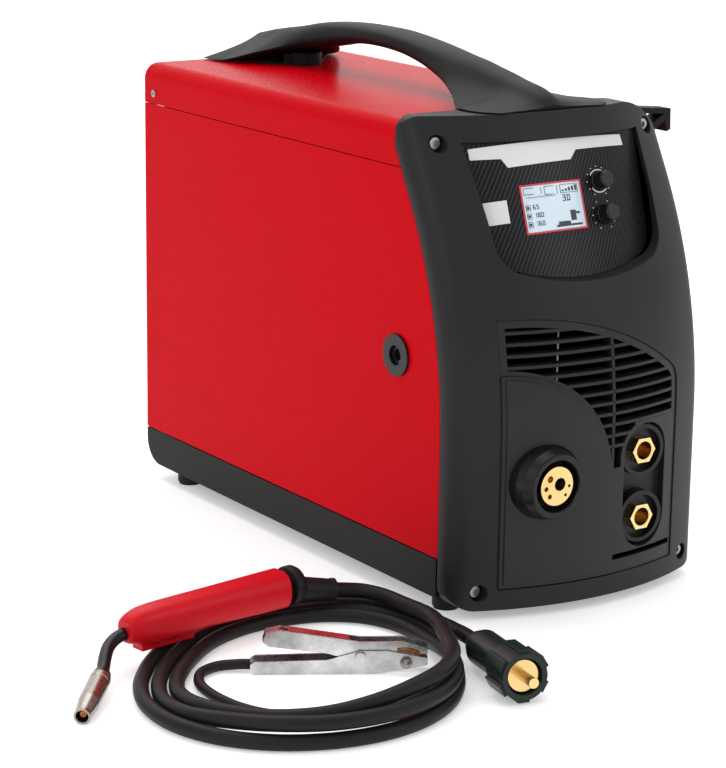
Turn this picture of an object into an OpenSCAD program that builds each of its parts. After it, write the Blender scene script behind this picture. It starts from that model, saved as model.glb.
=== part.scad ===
// MIG welding machine with its torch, torch cable and earth clamp.
// Millimetres, Z up. The origin is the centre of the machine's footprint on the floor.
// The front looks along -Y, and the door to the wire compartment is on the -X side.

/* [Case] */
// Width of the case over the side panels
body_w = 220; // [216:1:226]
// Length of the case from the front bow to the rear panel
body_l = 455; // [445:1:470]
// Height of the top cover above the floor
cover_top = 340; // [338:1:344]
// Height of the seam between the door and the top cover
door_top = 308.7; // [304:0.1:310]
// Height of the base tray's bottom above the floor
tray_bottom = 13; // [12:1:15]
// Height of the base tray's upper edge
tray_top = 41; // [38:1:44]
// Thickness of the steel sheet
sheet = 1.5; // [1:0.1:2]
// Bend radius of the cover along its left edge
left_bend = 12; // [8:1:16]
// Bend radius of the cover along its right edge
right_bend = 42; // [36:1:48]
// Gap between neighbouring panels
panel_gap = 0.6; // [0.4:0.1:1]
// Radius of the rubber feet
foot_r = 10; // [8:0.5:11]

/* [Front frame] */
// Lean of the upper front from the vertical, in degrees
lean = 28.5; // [27:0.5:30]
// Height at which the front starts to lean back
lean_start = 127; // [124:1:130]
// Radius of the curve between the upright and the leaning part, at the seam
seam_r = 335; // [325:1:345]
// Distance from the front bow to the seam with the side panels
seam_back = 42.6; // [40:0.1:45]
// Plan radius of the bowed front
bow_r = 229; // [225:1:235]
// Plan radius of the frame's front corners
corner_r = 19; // [17:1:21]
// Wall of the frame moulding
frame_wall = 3.5; // [3:0.1:4]
// Height of the frame's flat top above the cover
frame_rise = 4; // [3:0.5:5]
// Height of the frame's lower edge above the floor
frame_bottom = 7.5; // [6:0.5:9]
// Y of the frame's rear edge along the top
frame_back = -124.5; // [-126:0.5:-123]

/* [Control panel] */
// Lean of the recessed control panel, in degrees
fascia_lean = 19.2; // [18:0.1:20]
// Thickness of the control panel
fascia_t = 2; // [1.5:0.1:2.5]
// Half width of the window at its top
window_half = 77; // [75:0.5:78]
// Radius of the window's lower corners
window_corner = 22; // [18:1:24]
// Radius of the control knobs
knob_r = 7.2; // [6:0.1:8]
// Height of the control knobs over the panel
knob_h = 11; // [9:0.5:13]
// Width of the display glass
display_w = 48; // [44:1:50]
// Height of the display glass
display_h = 32; // [28:1:34]

/* [Grille and sockets] */
// Pitch of the grille bars
bar_pitch = 7.87; // [7:0.01:9]
// Height of one grille bar
bar_h = 2.2; // [1.8:0.1:3]
// Depth of the grille bars from the front
bar_depth = 9; // [6:0.5:12]
// How far the torch panel stands out of the frame
torch_panel_rise = 2.5; // [1.5:0.1:3.5]
// X of the torch socket's axis
socket_x = -48; // [-50:0.5:-46]
// Height of the torch socket's axis
socket_z = 98.5; // [96:0.5:101]
// Radius of the torch socket's brass body
socket_r = 13.8; // [13:0.1:14.5]
// Radius of the torch socket's main bore
socket_bore_r = 4.6; // [4:0.1:5]
// Height of the lower earth socket
dinse_low_z = 58; // [56:0.5:60]
// Height of the upper earth socket
dinse_high_z = 107; // [105:0.5:108]
// Radius of the bore in an earth socket
dinse_bore_r = 6.65; // [6.5:0.05:6.8]
// Outer radius of an earth socket's shroud
shroud_r = 19; // [18:0.5:19.5]

/* [Door] */
// Thickness of the door sheet
door_t = 1.5; // [1.2:0.1:2]
// Y of the latch
latch_y = -131.4; // [-134:0.1:-128]
// Height of the latch
latch_z = 176.7; // [170:0.1:184]
// Radius of the latch's round cover
latch_r = 15; // [13:0.5:16]
// Radius of the hinge pins
hinge_pin_r = 2; // [1.6:0.1:2.4]
// Radial clearance of a turning fit
turn_fit = 0.05; // [0.03:0.01:0.08]

/* [Wire feed] */
// Radius of the wire spool's flanges
spool_r = 98; // [90:1:100]
// Width of the wire spool
spool_w = 54; // [50:1:56]
// Radius of the spool's bore
spool_bore_r = 26; // [24:0.5:28]
// Radius of the drive roller
drive_r = 15; // [13:0.5:16]
// Radius of the pressure roller
press_r = 11; // [9:0.5:12]
// Diameter of the welding wire
wire_d = 0.8; // [0.6:0.1:1]

/* [Torch set] */
// Diameter of the torch cable
cable_d = 10.4; // [10:0.1:10.8]
// Diameter of the earth cable
earth_cable_d = 7; // [6:0.2:8]
// Radius of the torch handle's round rear end
grip_r = 13.5; // [12.5:0.5:14.5]
// Length of the gas nozzle
nozzle_l = 50; // [45:1:54]
// Radius of the torch plug's body
plug_r = 12.5; // [11.5:0.5:13]
// Radius of the torch plug's nut
plug_nut_r = 17.5; // [16:0.5:18.5]
// Length of the earth clamp
clamp_l = 116; // [112:1:118]

/* [Hidden] */
$fn = 96;
half_w = body_w / 2;
front_y = -body_l / 2;
rear_y = body_l / 2;
seam_y = front_y + seam_back;
arc_y = seam_y + seam_r;
apex_r = arc_y - front_y;
bow_c = apex_r - bow_r;
corner_x = half_w - corner_r;
corner_c = bow_c + sqrt(pow(bow_r - corner_r, 2) - pow(corner_x, 2));
frame_top = cover_top + frame_rise;
frame_bend = 16;
door_bottom = tray_top + 1;
seat = 0.3;

// ---------- the case ----------

// Plan outline of the bowed front: distance from the lean's axis against X.
function plan_points(inset) =
    let (bow_a = asin(corner_x / (bow_r - corner_r)), arc_n = 14, turn_n = 4)
    concat([[150, half_w - inset], [150, -half_w + inset]],
        [for (k = [0:turn_n])
            let (a = 90 - (90 - bow_a) * k / turn_n)
            [corner_c + (corner_r - inset) * cos(a), -corner_x - (corner_r - inset) * sin(a)]],
        [for (k = [1:arc_n - 1])
            let (a = bow_a - 2 * bow_a * k / arc_n)
            [bow_c + (bow_r - inset) * cos(a), -(bow_r - inset) * sin(a)]],
        [for (k = [turn_n:-1:0])
            let (a = 90 - (90 - bow_a) * k / turn_n)
            [corner_c + (corner_r - inset) * cos(a), corner_x + (corner_r - inset) * sin(a)]]);

// Everything behind the bowed front: upright, leaning, and four steps round the curve.
lean_steps = 5;
module front_mass(inset) {
    intersection_for(k = [0:lean_steps])
        translate([0, arc_y, lean_start]) rotate([-lean * k / lean_steps, 0, 0]) rotate([0, 0, -90])
            linear_extrude(600, center = true) polygon(plan_points(inset));
}

// Outline of the case seen from the front, with its four edge radii.
module case_outline(inset, bottom, top, low_bend) {
    low = low_bend;
    translate([-half_w + inset, bottom + low]) square([body_w - 2 * inset, top - right_bend - bottom - low]);
    translate([-half_w + inset, top - right_bend - 1])
        square([body_w - inset - right_bend, right_bend - left_bend + 1]);
    translate([-half_w + left_bend, top - left_bend - 1])
        square([body_w - left_bend - right_bend, left_bend - inset + 1]);
    translate([-half_w + left_bend, top - left_bend]) circle(r = left_bend - inset);
    translate([half_w - right_bend, top - right_bend]) circle(r = right_bend - inset);
    if (low > inset) {
        translate([-half_w + low, bottom + inset]) square([body_w - 2 * low, low - inset + 1]);
        for (side = [-1, 1])
            translate([side * (half_w - low), bottom + low]) circle(r = low - inset);
    }
}

// Turns a front outline (X against Z) into a prism from y0 back to y1.
module through(y0, y1) {
    translate([0, y1, 0]) rotate([90, 0, 0]) linear_extrude(y1 - y0) children();
}

// Turns a side outline (Y against Z) into a prism from x0 to x1.
module across(x0, x1) {
    translate([x0, 0, 0]) rotate([90, 0, 90]) linear_extrude(x1 - x0) children();
}

// Side outline of everything behind the frame's rear edge.
module behind_seam(gap, bottom, top) {
    r = seam_r - gap;
    bend_y = arc_y - r * cos(lean);
    bend_z = lean_start + r * sin(lean);
    neck_y = frame_back + gap;
    neck_z = bend_z + (neck_y - bend_y) / tan(lean);
    intersection() {
        union() {
            translate([arc_y - r, bottom]) square([rear_y - arc_y + r, lean_start - bottom]);
            intersection() {
                translate([arc_y, lean_start]) circle(r = r, $fn = 240);
                translate([arc_y - r, lean_start]) square([rear_y - arc_y + r, bend_z - lean_start]);
            }
            polygon([[bend_y, bend_z], [rear_y, bend_z], [rear_y, cover_top + 20],
                [neck_y, cover_top + 20], [neck_y, neck_z]]);
        }
        translate([-body_l, bottom]) square([2 * body_l, top - bottom]);
    }
}

// Folded steel tray that carries everything, with a rounded lower rear corner.
foot_x = half_w - 18;
foot_front_y = seam_y + 14;
foot_rear_y = rear_y - 38.7;
tray_front_y = seam_y + 2;
tray_corner = 20;
module tray_side(inset) {
    len = rear_y - tray_front_y;
    translate([tray_front_y, tray_bottom + inset])
        square([len - tray_corner, tray_top - tray_bottom - inset]);
    translate([tray_front_y, tray_bottom + tray_corner])
        square([len - inset, tray_top - tray_bottom - tray_corner]);
    translate([rear_y - tray_corner, tray_bottom + tray_corner]) circle(r = tray_corner - inset);
}
module base_tray() {
    color("#3d3d3a") difference() {
        intersection() {
            across(-half_w, half_w) tray_side(0);
            across(-half_w, half_w) translate([-body_l, tray_bottom]) square([2 * body_l, tray_top - tray_bottom]);
        }
        difference() {
            across(-half_w + sheet, half_w - sheet) tray_side(sheet);
            translate([-half_w, hinge_y - 8, tray_top - sheet]) cube([lug_l, 12, sheet]);
        }
        for (fx = [-foot_x, foot_x])
            for (fy = [foot_front_y, foot_rear_y])
                translate([fx, fy, tray_bottom - 1]) cylinder(r = 4, h = 4);
        translate([hinge_x, hinge_y, tray_top - 5]) cylinder(r = hinge_pin_r + 0.02, h = 10);
        for (ix = [-3:3])
            translate([ix * 18 + 50, -60, tray_bottom - 1]) cube([5, 120, 5]);
    }
}

module rubber_feet() {
    color("#1c1c1c")
        for (fx = [-foot_x, foot_x])
            for (fy = [foot_front_y, foot_rear_y])
                translate([fx, fy, 0]) {
                    cylinder(r = foot_r - 1, h = 2);
                    translate([0, 0, 2]) cylinder(r = foot_r, h = tray_bottom - 2);
                    cylinder(r = 3.9, h = tray_bottom + 5);
                }
}

// Back sheet with fan openings, switch, gland and gas fitting holes.
fan_x = 58;
fan_z = 190;
fan_r = 40;
switch_x = 58;
switch_z = 285;
gland_x = 62;
gland_z = 75;
gas_x = -20;
gas_z = 70;
hinge_x = -half_w + 4.4;
hinge_y = rear_y - 4;
hinge_eye_r = 3.6;
lug_l = 16;
panel_y = rear_y - 2 * sheet;
module rear_panel() {
    color("#2a2a2a") difference() {
        through(panel_y, panel_y + sheet) difference() {
            case_outline(sheet + 0.1, tray_bottom + tray_corner, cover_top, 0);
            translate([-half_w, 0]) square([lug_l + 0.5, door_top + 8]);
        }
        for (ring = [0:3])
            for (bar = [0:5 + 2 * ring])
                translate([fan_x, rear_y, fan_z]) rotate([0, bar * 360 / (6 + 2 * ring), 0])
                    translate([10 * (ring + 1) - 2, 5, 0]) rotate([90, 0, 0]) cylinder(r = 3, h = 20);
        translate([switch_x, rear_y + 5, switch_z]) rotate([90, 0, 0]) cylinder(r = 12.2, h = 20);
        translate([gland_x, rear_y + 5, gland_z]) rotate([90, 0, 0]) cylinder(r = 10.1, h = 20);
        translate([gas_x, rear_y + 5, gas_z]) rotate([90, 0, 0]) cylinder(r = 6.1, h = 20);
    }
}

// One bent sheet: the top, the whole right side, and a short lip over the door.
vent_rows = 2;
vent_count = 14;
module top_cover() {
    color("#d2011c") difference() {
        intersection() {
            through(front_y, rear_y) difference() {
                case_outline(0, tray_top + panel_gap, cover_top, 0);
                case_outline(sheet, tray_top - 10, cover_top, 0);
                translate([-half_w - 1, 0]) square([half_w, door_top + panel_gap]);
            }
            across(-half_w - 1, half_w + 1) behind_seam(panel_gap, 0, cover_top + 1);
        }
        for (row = [0:vent_rows - 1])
            for (slot = [0:vent_count - 1])
                translate([half_w - 5, -100 + slot * 14, 90 + row * 70]) cube([10, 5, 45]);
        translate([-half_w - 1, screw_y, screw_z]) rotate([0, 90, 0]) cylinder(r = 2.1, h = 8);
    }
    color("#d2011c") difference() {
        translate([-half_w + sheet, hinge_y - 6, door_top + panel_gap]) cube([12, 8, sheet]);
        translate([hinge_x, hinge_y, door_top]) cylinder(r = hinge_pin_r + 0.02, h = 10);
    }
}
screw_y = rear_y - 14.5;
screw_z = 317.5;

// Door to the wire compartment, with two rolled hinge eyes on its rear edge.
eye_h = 9;
module side_door() {
    color("#d2011c") difference() {
        union() {
            across(-half_w, -half_w + door_t) behind_seam(panel_gap, door_bottom, door_top);
            for (eye_z = [door_bottom, door_top - eye_h])
                translate([hinge_x, hinge_y, eye_z]) cylinder(r = hinge_eye_r, h = eye_h);
        }
        for (eye_z = [door_bottom, door_top - eye_h])
            translate([hinge_x, hinge_y, eye_z - 1]) cylinder(r = hinge_pin_r + turn_fit, h = eye_h + 2);
        translate([-half_w - 1, latch_y, latch_z]) rotate([0, 90, 0]) cylinder(r = latch_core_r + 2, h = 10);
    }
}

module hinge_pins() {
    color("#9a9a9a") {
        translate([hinge_x, hinge_y, tray_top - 4]) cylinder(r = hinge_pin_r, h = eye_h + 3);
        translate([hinge_x, hinge_y, door_top - eye_h + 2]) cylinder(r = hinge_pin_r, h = eye_h + 4);
    }
}

// Round cover of the latch, with the hole for the latch's core.
latch_core_r = 7;
module latch_bezel() {
    color("#1e201e") translate([-half_w, latch_y, latch_z]) rotate([0, 90, 0]) difference() {
        union() {
            translate([0, 0, -2]) cylinder(r = latch_r, h = 2);
            cylinder(r = latch_core_r + 1.9, h = door_t + 3);
        }
        translate([0, 0, -3]) cylinder(r = latch_core_r + turn_fit, h = 20);
    }
}

// Latch core with a hexagon recess and the long tongue that turns behind the frame.
tongue_l = 60;
module door_latch() {
    color("#101010") translate([-half_w, latch_y, latch_z]) rotate([0, 90, 0]) {
        difference() {
            translate([0, 0, 0.5]) cylinder(r = latch_core_r, h = door_t + 4.5);
            cylinder(r = 4.6, h = 4, $fn = 6);
        }
        translate([-tongue_l, -4.5, door_t + 4.5]) cube([tongue_l + 4.5, 9, 2]);
    }
}

// ---------- the front frame ----------

// Window over the control panel: slanting sides, round lower corners, bellied sill.
window_top = 326.5;
window_low = 262;
window_belly = 214;
module window_outline(grow) {
    r = window_corner + grow;
    low_half = window_half - 5;
    polygon([[-window_half - grow, window_top + grow], [window_half + grow, window_top + grow],
        [low_half + grow, window_low], [-low_half - grow, window_low]]);
    for (side = [-1, 1])
        translate([side * (low_half - window_corner), window_low]) circle(r = r);
    intersection() {
        translate([0, window_low + belly_up]) circle(r = window_belly + grow, $fn = 240);
        translate([-(low_half - window_corner), window_low - 60]) square([2 * (low_half - window_corner), 61]);
    }
}
belly_up = sqrt(pow(window_belly - window_corner, 2) - pow(window_half - 5 - window_corner, 2));

// Opening for the grille and socket panels: arched top, round upper right corner.
insert_left = -79;
insert_right = 75.8;
insert_low = 22;
arch_r = 225;
arch_x = -66;
arch_z = -13.5;
arch_corner = 16;
module insert_outline(grow) {
    cx = insert_right - arch_corner;
    cz = arch_z + sqrt(pow(arch_r - arch_corner, 2) - pow(cx - arch_x, 2));
    turn_at = atan2(cz - arch_z, cx - arch_x);
    left_at = acos((insert_left - grow - arch_x) / (arch_r + grow));
    polygon(concat([[insert_left - grow, insert_low - grow], [insert_right + grow, insert_low - grow]],
        [for (k = [0:8])
            let (a = turn_at * k / 8)
            [cx + (arch_corner + grow) * cos(a), cz + (arch_corner + grow) * sin(a)]],
        [for (k = [1:20])
            let (a = turn_at + (left_at - turn_at) * k / 20)
            [arch_x + (arch_r + grow) * cos(a), arch_z + (arch_r + grow) * sin(a)]]));
}

// Place of each frame screw: X, height, and Y of the seat under its head.
case_screw_places = [[-91.4, 325.9, -153], [91.4, 325.9, -153], [-91.2, 20.4, -201], [91.2, 20.4, -201]];
boss_r = 9;
module front_frame() {
    color("#333132") difference() {
        intersection() {
            front_mass(0);
            through(front_y - 1, frame_back) case_outline(-0.5, frame_bottom + 0.5, frame_top - 0.5, frame_bend);
        }
        difference() {
            intersection() {
                front_mass(frame_wall);
                through(front_y - 1, rear_y) case_outline(frame_wall - 0.5, frame_bottom, frame_top - 0.5, frame_bend);
            }
            for (place = case_screw_places)
                translate([place[0], place[2] + 12, place[1]]) rotate([90, 0, 0]) cylinder(r = boss_r, h = 90);
            intersection() {
                through(front_y - 1, frame_back) window_outline(3);
                on_fascia() translate([-150, -60, -150]) cube([300, 66, 300]);
            }
        }
        across(-half_w - 1, half_w + 1) behind_seam(0, -1, cover_top + 30);
        through(front_y - 20, 0) window_outline(0);
        through(front_y - 20, 0) insert_outline(0);
        for (place = case_screw_places) {
            translate([place[0], place[2], place[1]]) rotate([90, 0, 0]) cylinder(r = 6, h = 90);
            translate([place[0], place[2] + 20, place[1]]) rotate([90, 0, 0]) cylinder(r = 2.55, h = 60);
        }
        for (fx = [-foot_x, foot_x])
            translate([fx, foot_front_y, 0]) cylinder(r = foot_r + 1, h = tray_bottom + 1);
    }
}

// ---------- the control panel ----------

fascia_y = -183.5;
fascia_z = 280;
fascia_r = 226;
// Places children on the control panel: X right, Z up the slope, -Y outwards.
module on_fascia() {
    translate([0, fascia_y, fascia_z]) rotate([-fascia_lean, 0, 0]) children();
}

// A curved sheet that follows the panel from in to out, cut to a front outline.
module fascia_sheet(in, out) {
    intersection() {
        translate([0, fascia_r, -80]) difference() {
            cylinder(r = fascia_r + out, h = 160, $fn = 240);
            translate([0, 0, -1]) cylinder(r = fascia_r + in, h = 162, $fn = 240);
        }
        translate([0, 20, 0]) rotate([90, 0, 0]) linear_extrude(60) children();
    }
}

module control_fascia() {
    color("#141416") difference() {
        intersection() {
            on_fascia() fascia_sheet(-fascia_t, 0) square([300, 200], center = true);
            through(front_y, 0) window_outline(-seat);
        }
        on_fascia() for (kz = [knob_high, knob_low])
            translate([knob_x, 10, kz]) rotate([90, 0, 0]) cylinder(r = 3.2, h = 40);
    }
}

knob_x = 27.3;
knob_high = 16;
knob_low = -7.8;
// Fascia surface's setback at a given X.
function bow_at(x) = fascia_r - sqrt(pow(fascia_r, 2) - pow(x, 2));

// Bright trim: the strip along the top, the small plate, and the ring round the upper knob.
module silver_trims() {
    color("#dbdbdb") on_fascia() {
        fascia_sheet(0.02, 0.6) polygon([[-72, 48.2], [58, 48.2], [59.5, 40.5], [11, 39.5], [5, 33],
            [-46, 32], [-50, 38.6], [-72, 40.5]]);
        fascia_sheet(0.02, 0.8) translate([-71, -6]) square([19.5, 16]);
        translate([knob_x, 0, knob_high]) difference() {
            translate([0, bow_at(knob_x + 8.4) + 0.3, 0]) rotate([90, 0, 0]) cylinder(r = 8.4, h = 2.2);
            translate([0, 5, 0]) rotate([90, 0, 0]) cylinder(r = knob_r + 0.3, h = 10);
            translate([-knob_x, fascia_r, -20]) cylinder(r = fascia_r + 0.02, h = 40, $fn = 240);
        }
    }
}

module display_bezel() {
    color("#c8202c") on_fascia() fascia_sheet(0.02, 0.5) translate([-15.2, 1.4]) difference() {
        square([display_w + 2.6, display_h + 2.6], center = true);
        square([display_w + 0.1, display_h + 0.1], center = true);
    }
}

module display_window() {
    color("#d4e4ef") on_fascia() fascia_sheet(0.02, 0.3) translate([-15.2, 1.4])
        square([display_w, display_h], center = true);
}

// Knob with a tapered fluted cap and a short spindle through the panel.
module control_knob(kz) {
    on_fascia() translate([knob_x, bow_at(knob_x) - 0.9, kz]) rotate([90, 0, 0]) {
        difference() {
            rotate_extrude() polygon([[0, 0], [knob_r, 0], [knob_r, 1.2], [knob_r - 0.5, 2],
                [knob_r - 1.2, knob_h - 1.2], [knob_r - 2.2, knob_h], [0, knob_h]]);
            for (flute = [0:11])
                rotate([0, 0, flute * 30]) translate([knob_r + 0.3, 0, 2.4]) cylinder(r = 1.1, h = knob_h);
        }
        translate([0, 0, -9]) cylinder(r = 2.9, h = 10);
    }
}
module knob_upper() { color("#1a1a1c") control_knob(knob_high); }
module knob_lower() { color("#1a1a1c") control_knob(knob_low); }

// ---------- grille, torch panel and sockets ----------

torch_arc_r = 82;
torch_arc_x = -76;
torch_arc_z = 92;
torch_left = -79;
torch_low = 23.5;
torch_foot_x = 9.5;
// Outline of the raised torch panel: a quarter circle over a slightly slanting side.
module torch_outline(grow) {
    intersection() {
        translate([torch_arc_x, torch_arc_z]) circle(r = torch_arc_r + grow);
        translate([torch_left - grow, torch_arc_z]) square(200);
    }
    polygon([[torch_left - grow, torch_low - grow], [torch_foot_x + grow, torch_low - grow],
        [torch_arc_x + torch_arc_r + grow, torch_arc_z], [torch_left - grow, torch_arc_z]]);
}

stadium_x = 42;
stadium_half = 22;
module stadium(grow) {
    for (sz = [dinse_low_z + 1, dinse_high_z - 1])
        translate([stadium_x, sz]) circle(r = stadium_half + grow);
    translate([stadium_x - stadium_half - grow, dinse_low_z + 1])
        square([2 * (stadium_half + grow), dinse_high_z - dinse_low_z - 2]);
}

rib_x = 9;
bar_count = 12;
bar_low = 116;
module grille_area() {
    difference() {
        intersection() {
            insert_outline(-5.5);
            union() {
                translate([insert_left, 140]) square([200, 100]);
                translate([-10, 130.5]) square([200, 100]);
                translate([-10, 100]) square([40, 100]);
            }
        }
        torch_outline(3.2);
        stadium(3.2);
    }
}
panel_in = 0.8;
recess_y = front_y + 16.5;
module grille_bars() {
    for (bar = [0:bar_count - 1])
        translate([-100, bar_low + bar * bar_pitch - bar_h / 2]) square([200, bar_h]);
    translate([rib_x - 1.1, 90]) square([2.2, 140]);
}
module grille_panel() {
    color("#2d2c2e") difference() {
        intersection() {
            front_mass(panel_in);
            through(front_y - 5, seam_y + 30) insert_outline(-seat);
        }
        difference() {
            front_mass(panel_in + 3);
            through(front_y - 5, recess_y + 2) stadium(2);
            difference() {
                through(front_y - 5, seam_y + 30) intersection() {
                    grille_area();
                    grille_bars();
                }
                front_mass(bar_depth);
            }
        }
        through(front_y - 20, seam_y + 40) difference() {
            grille_area();
            grille_bars();
        }
        through(front_y - 20, seam_y + 40) torch_outline(seat - 6);
        through(front_y - 20, recess_y) stadium(0);
        for (dz = [dinse_low_z, dinse_high_z])
            translate([stadium_x, seam_y, dz]) rotate([90, 0, 0]) cylinder(r = 12.1, h = 40);
        translate([12, front_y - 5, 32]) cube([61, 20, 4]);
    }
}

boss_y = front_y - 11;
// Raised panel with a stepped edge, seated on the grille panel's outer face.
module torch_panel() {
    color("#353436") difference() {
        union() {
            intersection() {
                front_mass(-torch_panel_rise);
                through(front_y - 20, seam_y + 40) torch_outline(-2.5);
            }
            intersection() {
                front_mass(-torch_panel_rise / 2);
                through(front_y - 20, seam_y + 40) torch_outline(0);
            }
        }
        front_mass(panel_in - seat);
        translate([socket_x, 0, socket_z]) rotate([90, 0, 0]) cylinder(r = base_r + 0.1, h = 300);
    }
}

collar_r = 21;
base_r = 26.5;
// Black moulded collar that guards the torch socket.
module socket_collar() {
    color("#232325") translate([socket_x, 0, socket_z]) rotate([90, 0, 0]) rotate_extrude()
        polygon([[socket_r + 0.1, 205], [collar_r, 205], [collar_r, 216.2], [base_r, 216.2],
            [base_r, -front_y - 2.2], [25.2, -front_y + 4], [22.6, -boss_y - 1], [21.6, -boss_y], [18.8, -boss_y],
            [18.2, -boss_y - 1], [18.2, -front_y - 6], [socket_r + 0.1, -front_y - 6]]);
}

// Brass body of the torch socket: main bore, gas and contact holes.
module euro_socket() {
    color("#d8b565") translate([socket_x, 0, socket_z]) rotate([90, 0, 0]) difference() {
        union() {
            translate([0, 0, 180]) cylinder(r = socket_r, h = -boss_y - 1.5 - 180);
            translate([0, 0, 176]) cylinder(r = 16.5, h = 8, $fn = 6);
        }
        translate([2.6, 1, 170]) cylinder(r = socket_bore_r, h = 100);
        for (hole = [[-6, 5.7, 2.4], [-9.2, -0.9, 1.7], [-6, -6.7, 1.7], [10.6, -1.2, 1.1], [7.6, -7.2, 1.1]])
            translate([hole[0], hole[1], -boss_y - 9.5]) cylinder(r = hole[2], h = 20);
    }
}

module dinse_shrouds() {
    color("#18181a") for (dz = [dinse_low_z, dinse_high_z])
        translate([stadium_x, recess_y, dz]) rotate([90, 0, 0]) difference() {
            union() {
                cylinder(r = shroud_r, h = 3);
                cylinder(r = shroud_r, h = 8.5);
                translate([0, 0, -12]) cylinder(r = 12, h = 13);
            }
            translate([0, 0, 3]) cylinder(r = shroud_r - 3, h = 20);
            translate([0, 0, -20]) cylinder(r = 7.75, h = 40);
        }
}

// Brass sockets with a hexagon nose, a round body and a bore for the earth plug.
module dinse_inserts() {
    color("#c79a45") for (dz = [dinse_low_z, dinse_high_z])
        translate([stadium_x, recess_y, dz]) rotate([90, 0, 0]) difference() {
            union() {
                translate([0, 0, 3.1]) cylinder(r = 10.2, h = 7, $fn = 6);
                translate([0, 0, -24]) cylinder(r = 7.7, h = 30);
            }
            translate([0, 0, -20]) cylinder(r = dinse_bore_r, h = 60);
        }
}

// ---------- the handle ----------

// Stations along the handle: y, half width at the foot, half width at the crown,
// height of the underside, height of the widest line, height of the crown.
handle_run = [
    [rear_y - 0.5, 57, 10, 340.6, 341.2, 359],
    [215, 56, 12, 340.6, 341.4, 361.5],
    [203, 54, 14, 340.8, 342, 364],
    [190, 50, 15, 342, 345, 366.2],
    [177, 42, 16, 346, 349.5, 368.4],
    [165, 32, 16, 350.5, 353.5, 370.2],
    [152, 23, 16, 353.5, 358, 372.5],
    [138, 18, 16, 355.5, 363, 375.2],
    [122, 16.4, 16, 358, 367, 377.6],
    [105, 16, 16, 361, 370, 379.3],
    [88, 16, 16, 364, 372.4, 380.4],
    [70, 16, 16, 366, 373.6, 381],
    [50, 16, 16, 366.6, 374, 381],
    [30, 16, 16, 366, 373.5, 380.6],
    [10, 16, 16, 364.2, 372, 379],
    [-8, 16.4, 16, 361, 369.4, 377.2],
    [-24, 17.4, 16, 357.4, 366, 375.4],
    [-40, 19.5, 16, 353.6, 361.5, 373.4],
    [-56, 23, 16, 350, 356.5, 371.2],
    [-72, 28.5, 16, 346.4, 351.5, 369.3],
    [-88, 36, 16, 343.5, 347.5, 366.4],
    [-103, 45, 16, 341, 344.5, 363.8],
    [-116, 53, 15, 340.8, 343.2, 361.2],
    [-126, 58, 14, 344.3, 345, 359.6],
    [-138, 58, 13, 344.3, 345, 357.4],
    [-150, 54, 11, 344.3, 345, 353],
    [-158, 46, 8, 344.3, 344.8, 347.5]
];
ring_n = 28;
// One cross-section: a superellipse over the widest line and a flatter one below,
// with the skirt spreading from the crown's width to the foot's.
function handle_ring(s) = [
    for (k = [0:ring_n - 1])
        let (a = 360 * k / ring_n,
            up = sin(a) >= 0,
            c = sign(cos(a)) * pow(abs(cos(a)), 0.72),
            h = pow(abs(sin(a)), 0.72),
            w = up ? s[2] + (s[1] - s[2]) * pow(1 - h, 1.7) : s[1],
            z = up ? s[4] + (s[5] - s[4]) * h : s[4] - (s[4] - s[3]) * h)
        [c * w, s[0], z]
];
// Closes a stack of rings into one solid; the first ring's normal faces its start.
module loft(rings) {
    n = len(rings[0]);
    m = len(rings);
    points = [for (ring = rings) for (p = ring) p];
    walls = [
        for (i = [0:m - 2]) for (k = [0:n - 1])
            let (a = i * n + k, b = i * n + (k + 1) % n)
            each [[a, b, b + n], [a, b + n, a + n]]
    ];
    first = [for (k = [1:n - 2]) [0, k + 1, k]];
    last = [for (k = [1:n - 2]) [(m - 1) * n, (m - 1) * n + k, (m - 1) * n + k + 1]];
    polyhedron(points, concat(walls, first, last), convexity = 8);
}

module handle_grip() {
    color("#2e2d2f") loft([for (s = handle_run) handle_ring(s)]);
}

// Pedestal under the rear of the handle, round-nosed in plan.
pad_nose_y = 150.5;
module handle_pad() {
    color("#29282a") difference() {
        translate([0, 0, cover_top + 0.02]) linear_extrude(13.5) difference() {
            union() {
                translate([-14, pad_nose_y + 14]) square([28, 40]);
                translate([0, pad_nose_y + 14]) circle(r = 14);
                polygon([[-14, pad_nose_y + 14], [14, pad_nose_y + 14], [40, pad_nose_y + 40],
                    [40, rear_y - 25], [-40, rear_y - 25], [-40, pad_nose_y + 40]]);
            }
        }
        difference() {
            translate([-100, 0, 300]) cube([200, 300, 80]);
            handle_below();
        }
    }
}
// Space under the handle's rear that the pedestal may fill.
module handle_below() {
    translate([-100, 100, 300]) cube([200, 68, 48.8]);
    translate([-28, 100, 300]) cube([56, 62, 50.1]);
    translate([-100, 168, 300]) cube([200, 14, 41.6]);
}

// Countersunk heads: four in the frame, one each side of the cover.
module case_screws() {
    color("#4a4a4a") {
        for (place = case_screw_places) {
            translate([place[0], place[2] - 0.02, place[1]]) rotate([90, 0, 0]) difference() {
                union() {
                    cylinder(r = 4.5, h = 3);
                    translate([0, 0, -14]) cylinder(r = 2.5, h = 15);
                }
                translate([0, 0, 1.2]) cylinder(r = 1.6, h = 4, $fn = 6);
            }
        }
        for (side = [-1, 1])
            translate([side * (half_w + 1), screw_y, side < 0 ? screw_z : 70]) rotate([0, -side * 90, 0]) {
                difference() {
                    cylinder(r = 3, h = 1);
                    translate([-2.4, -0.4, -0.1]) cube([4.8, 0.8, 0.6]);
                }
                if (side < 0) cylinder(r = 2, h = 8);
            }
    }
}

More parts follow.
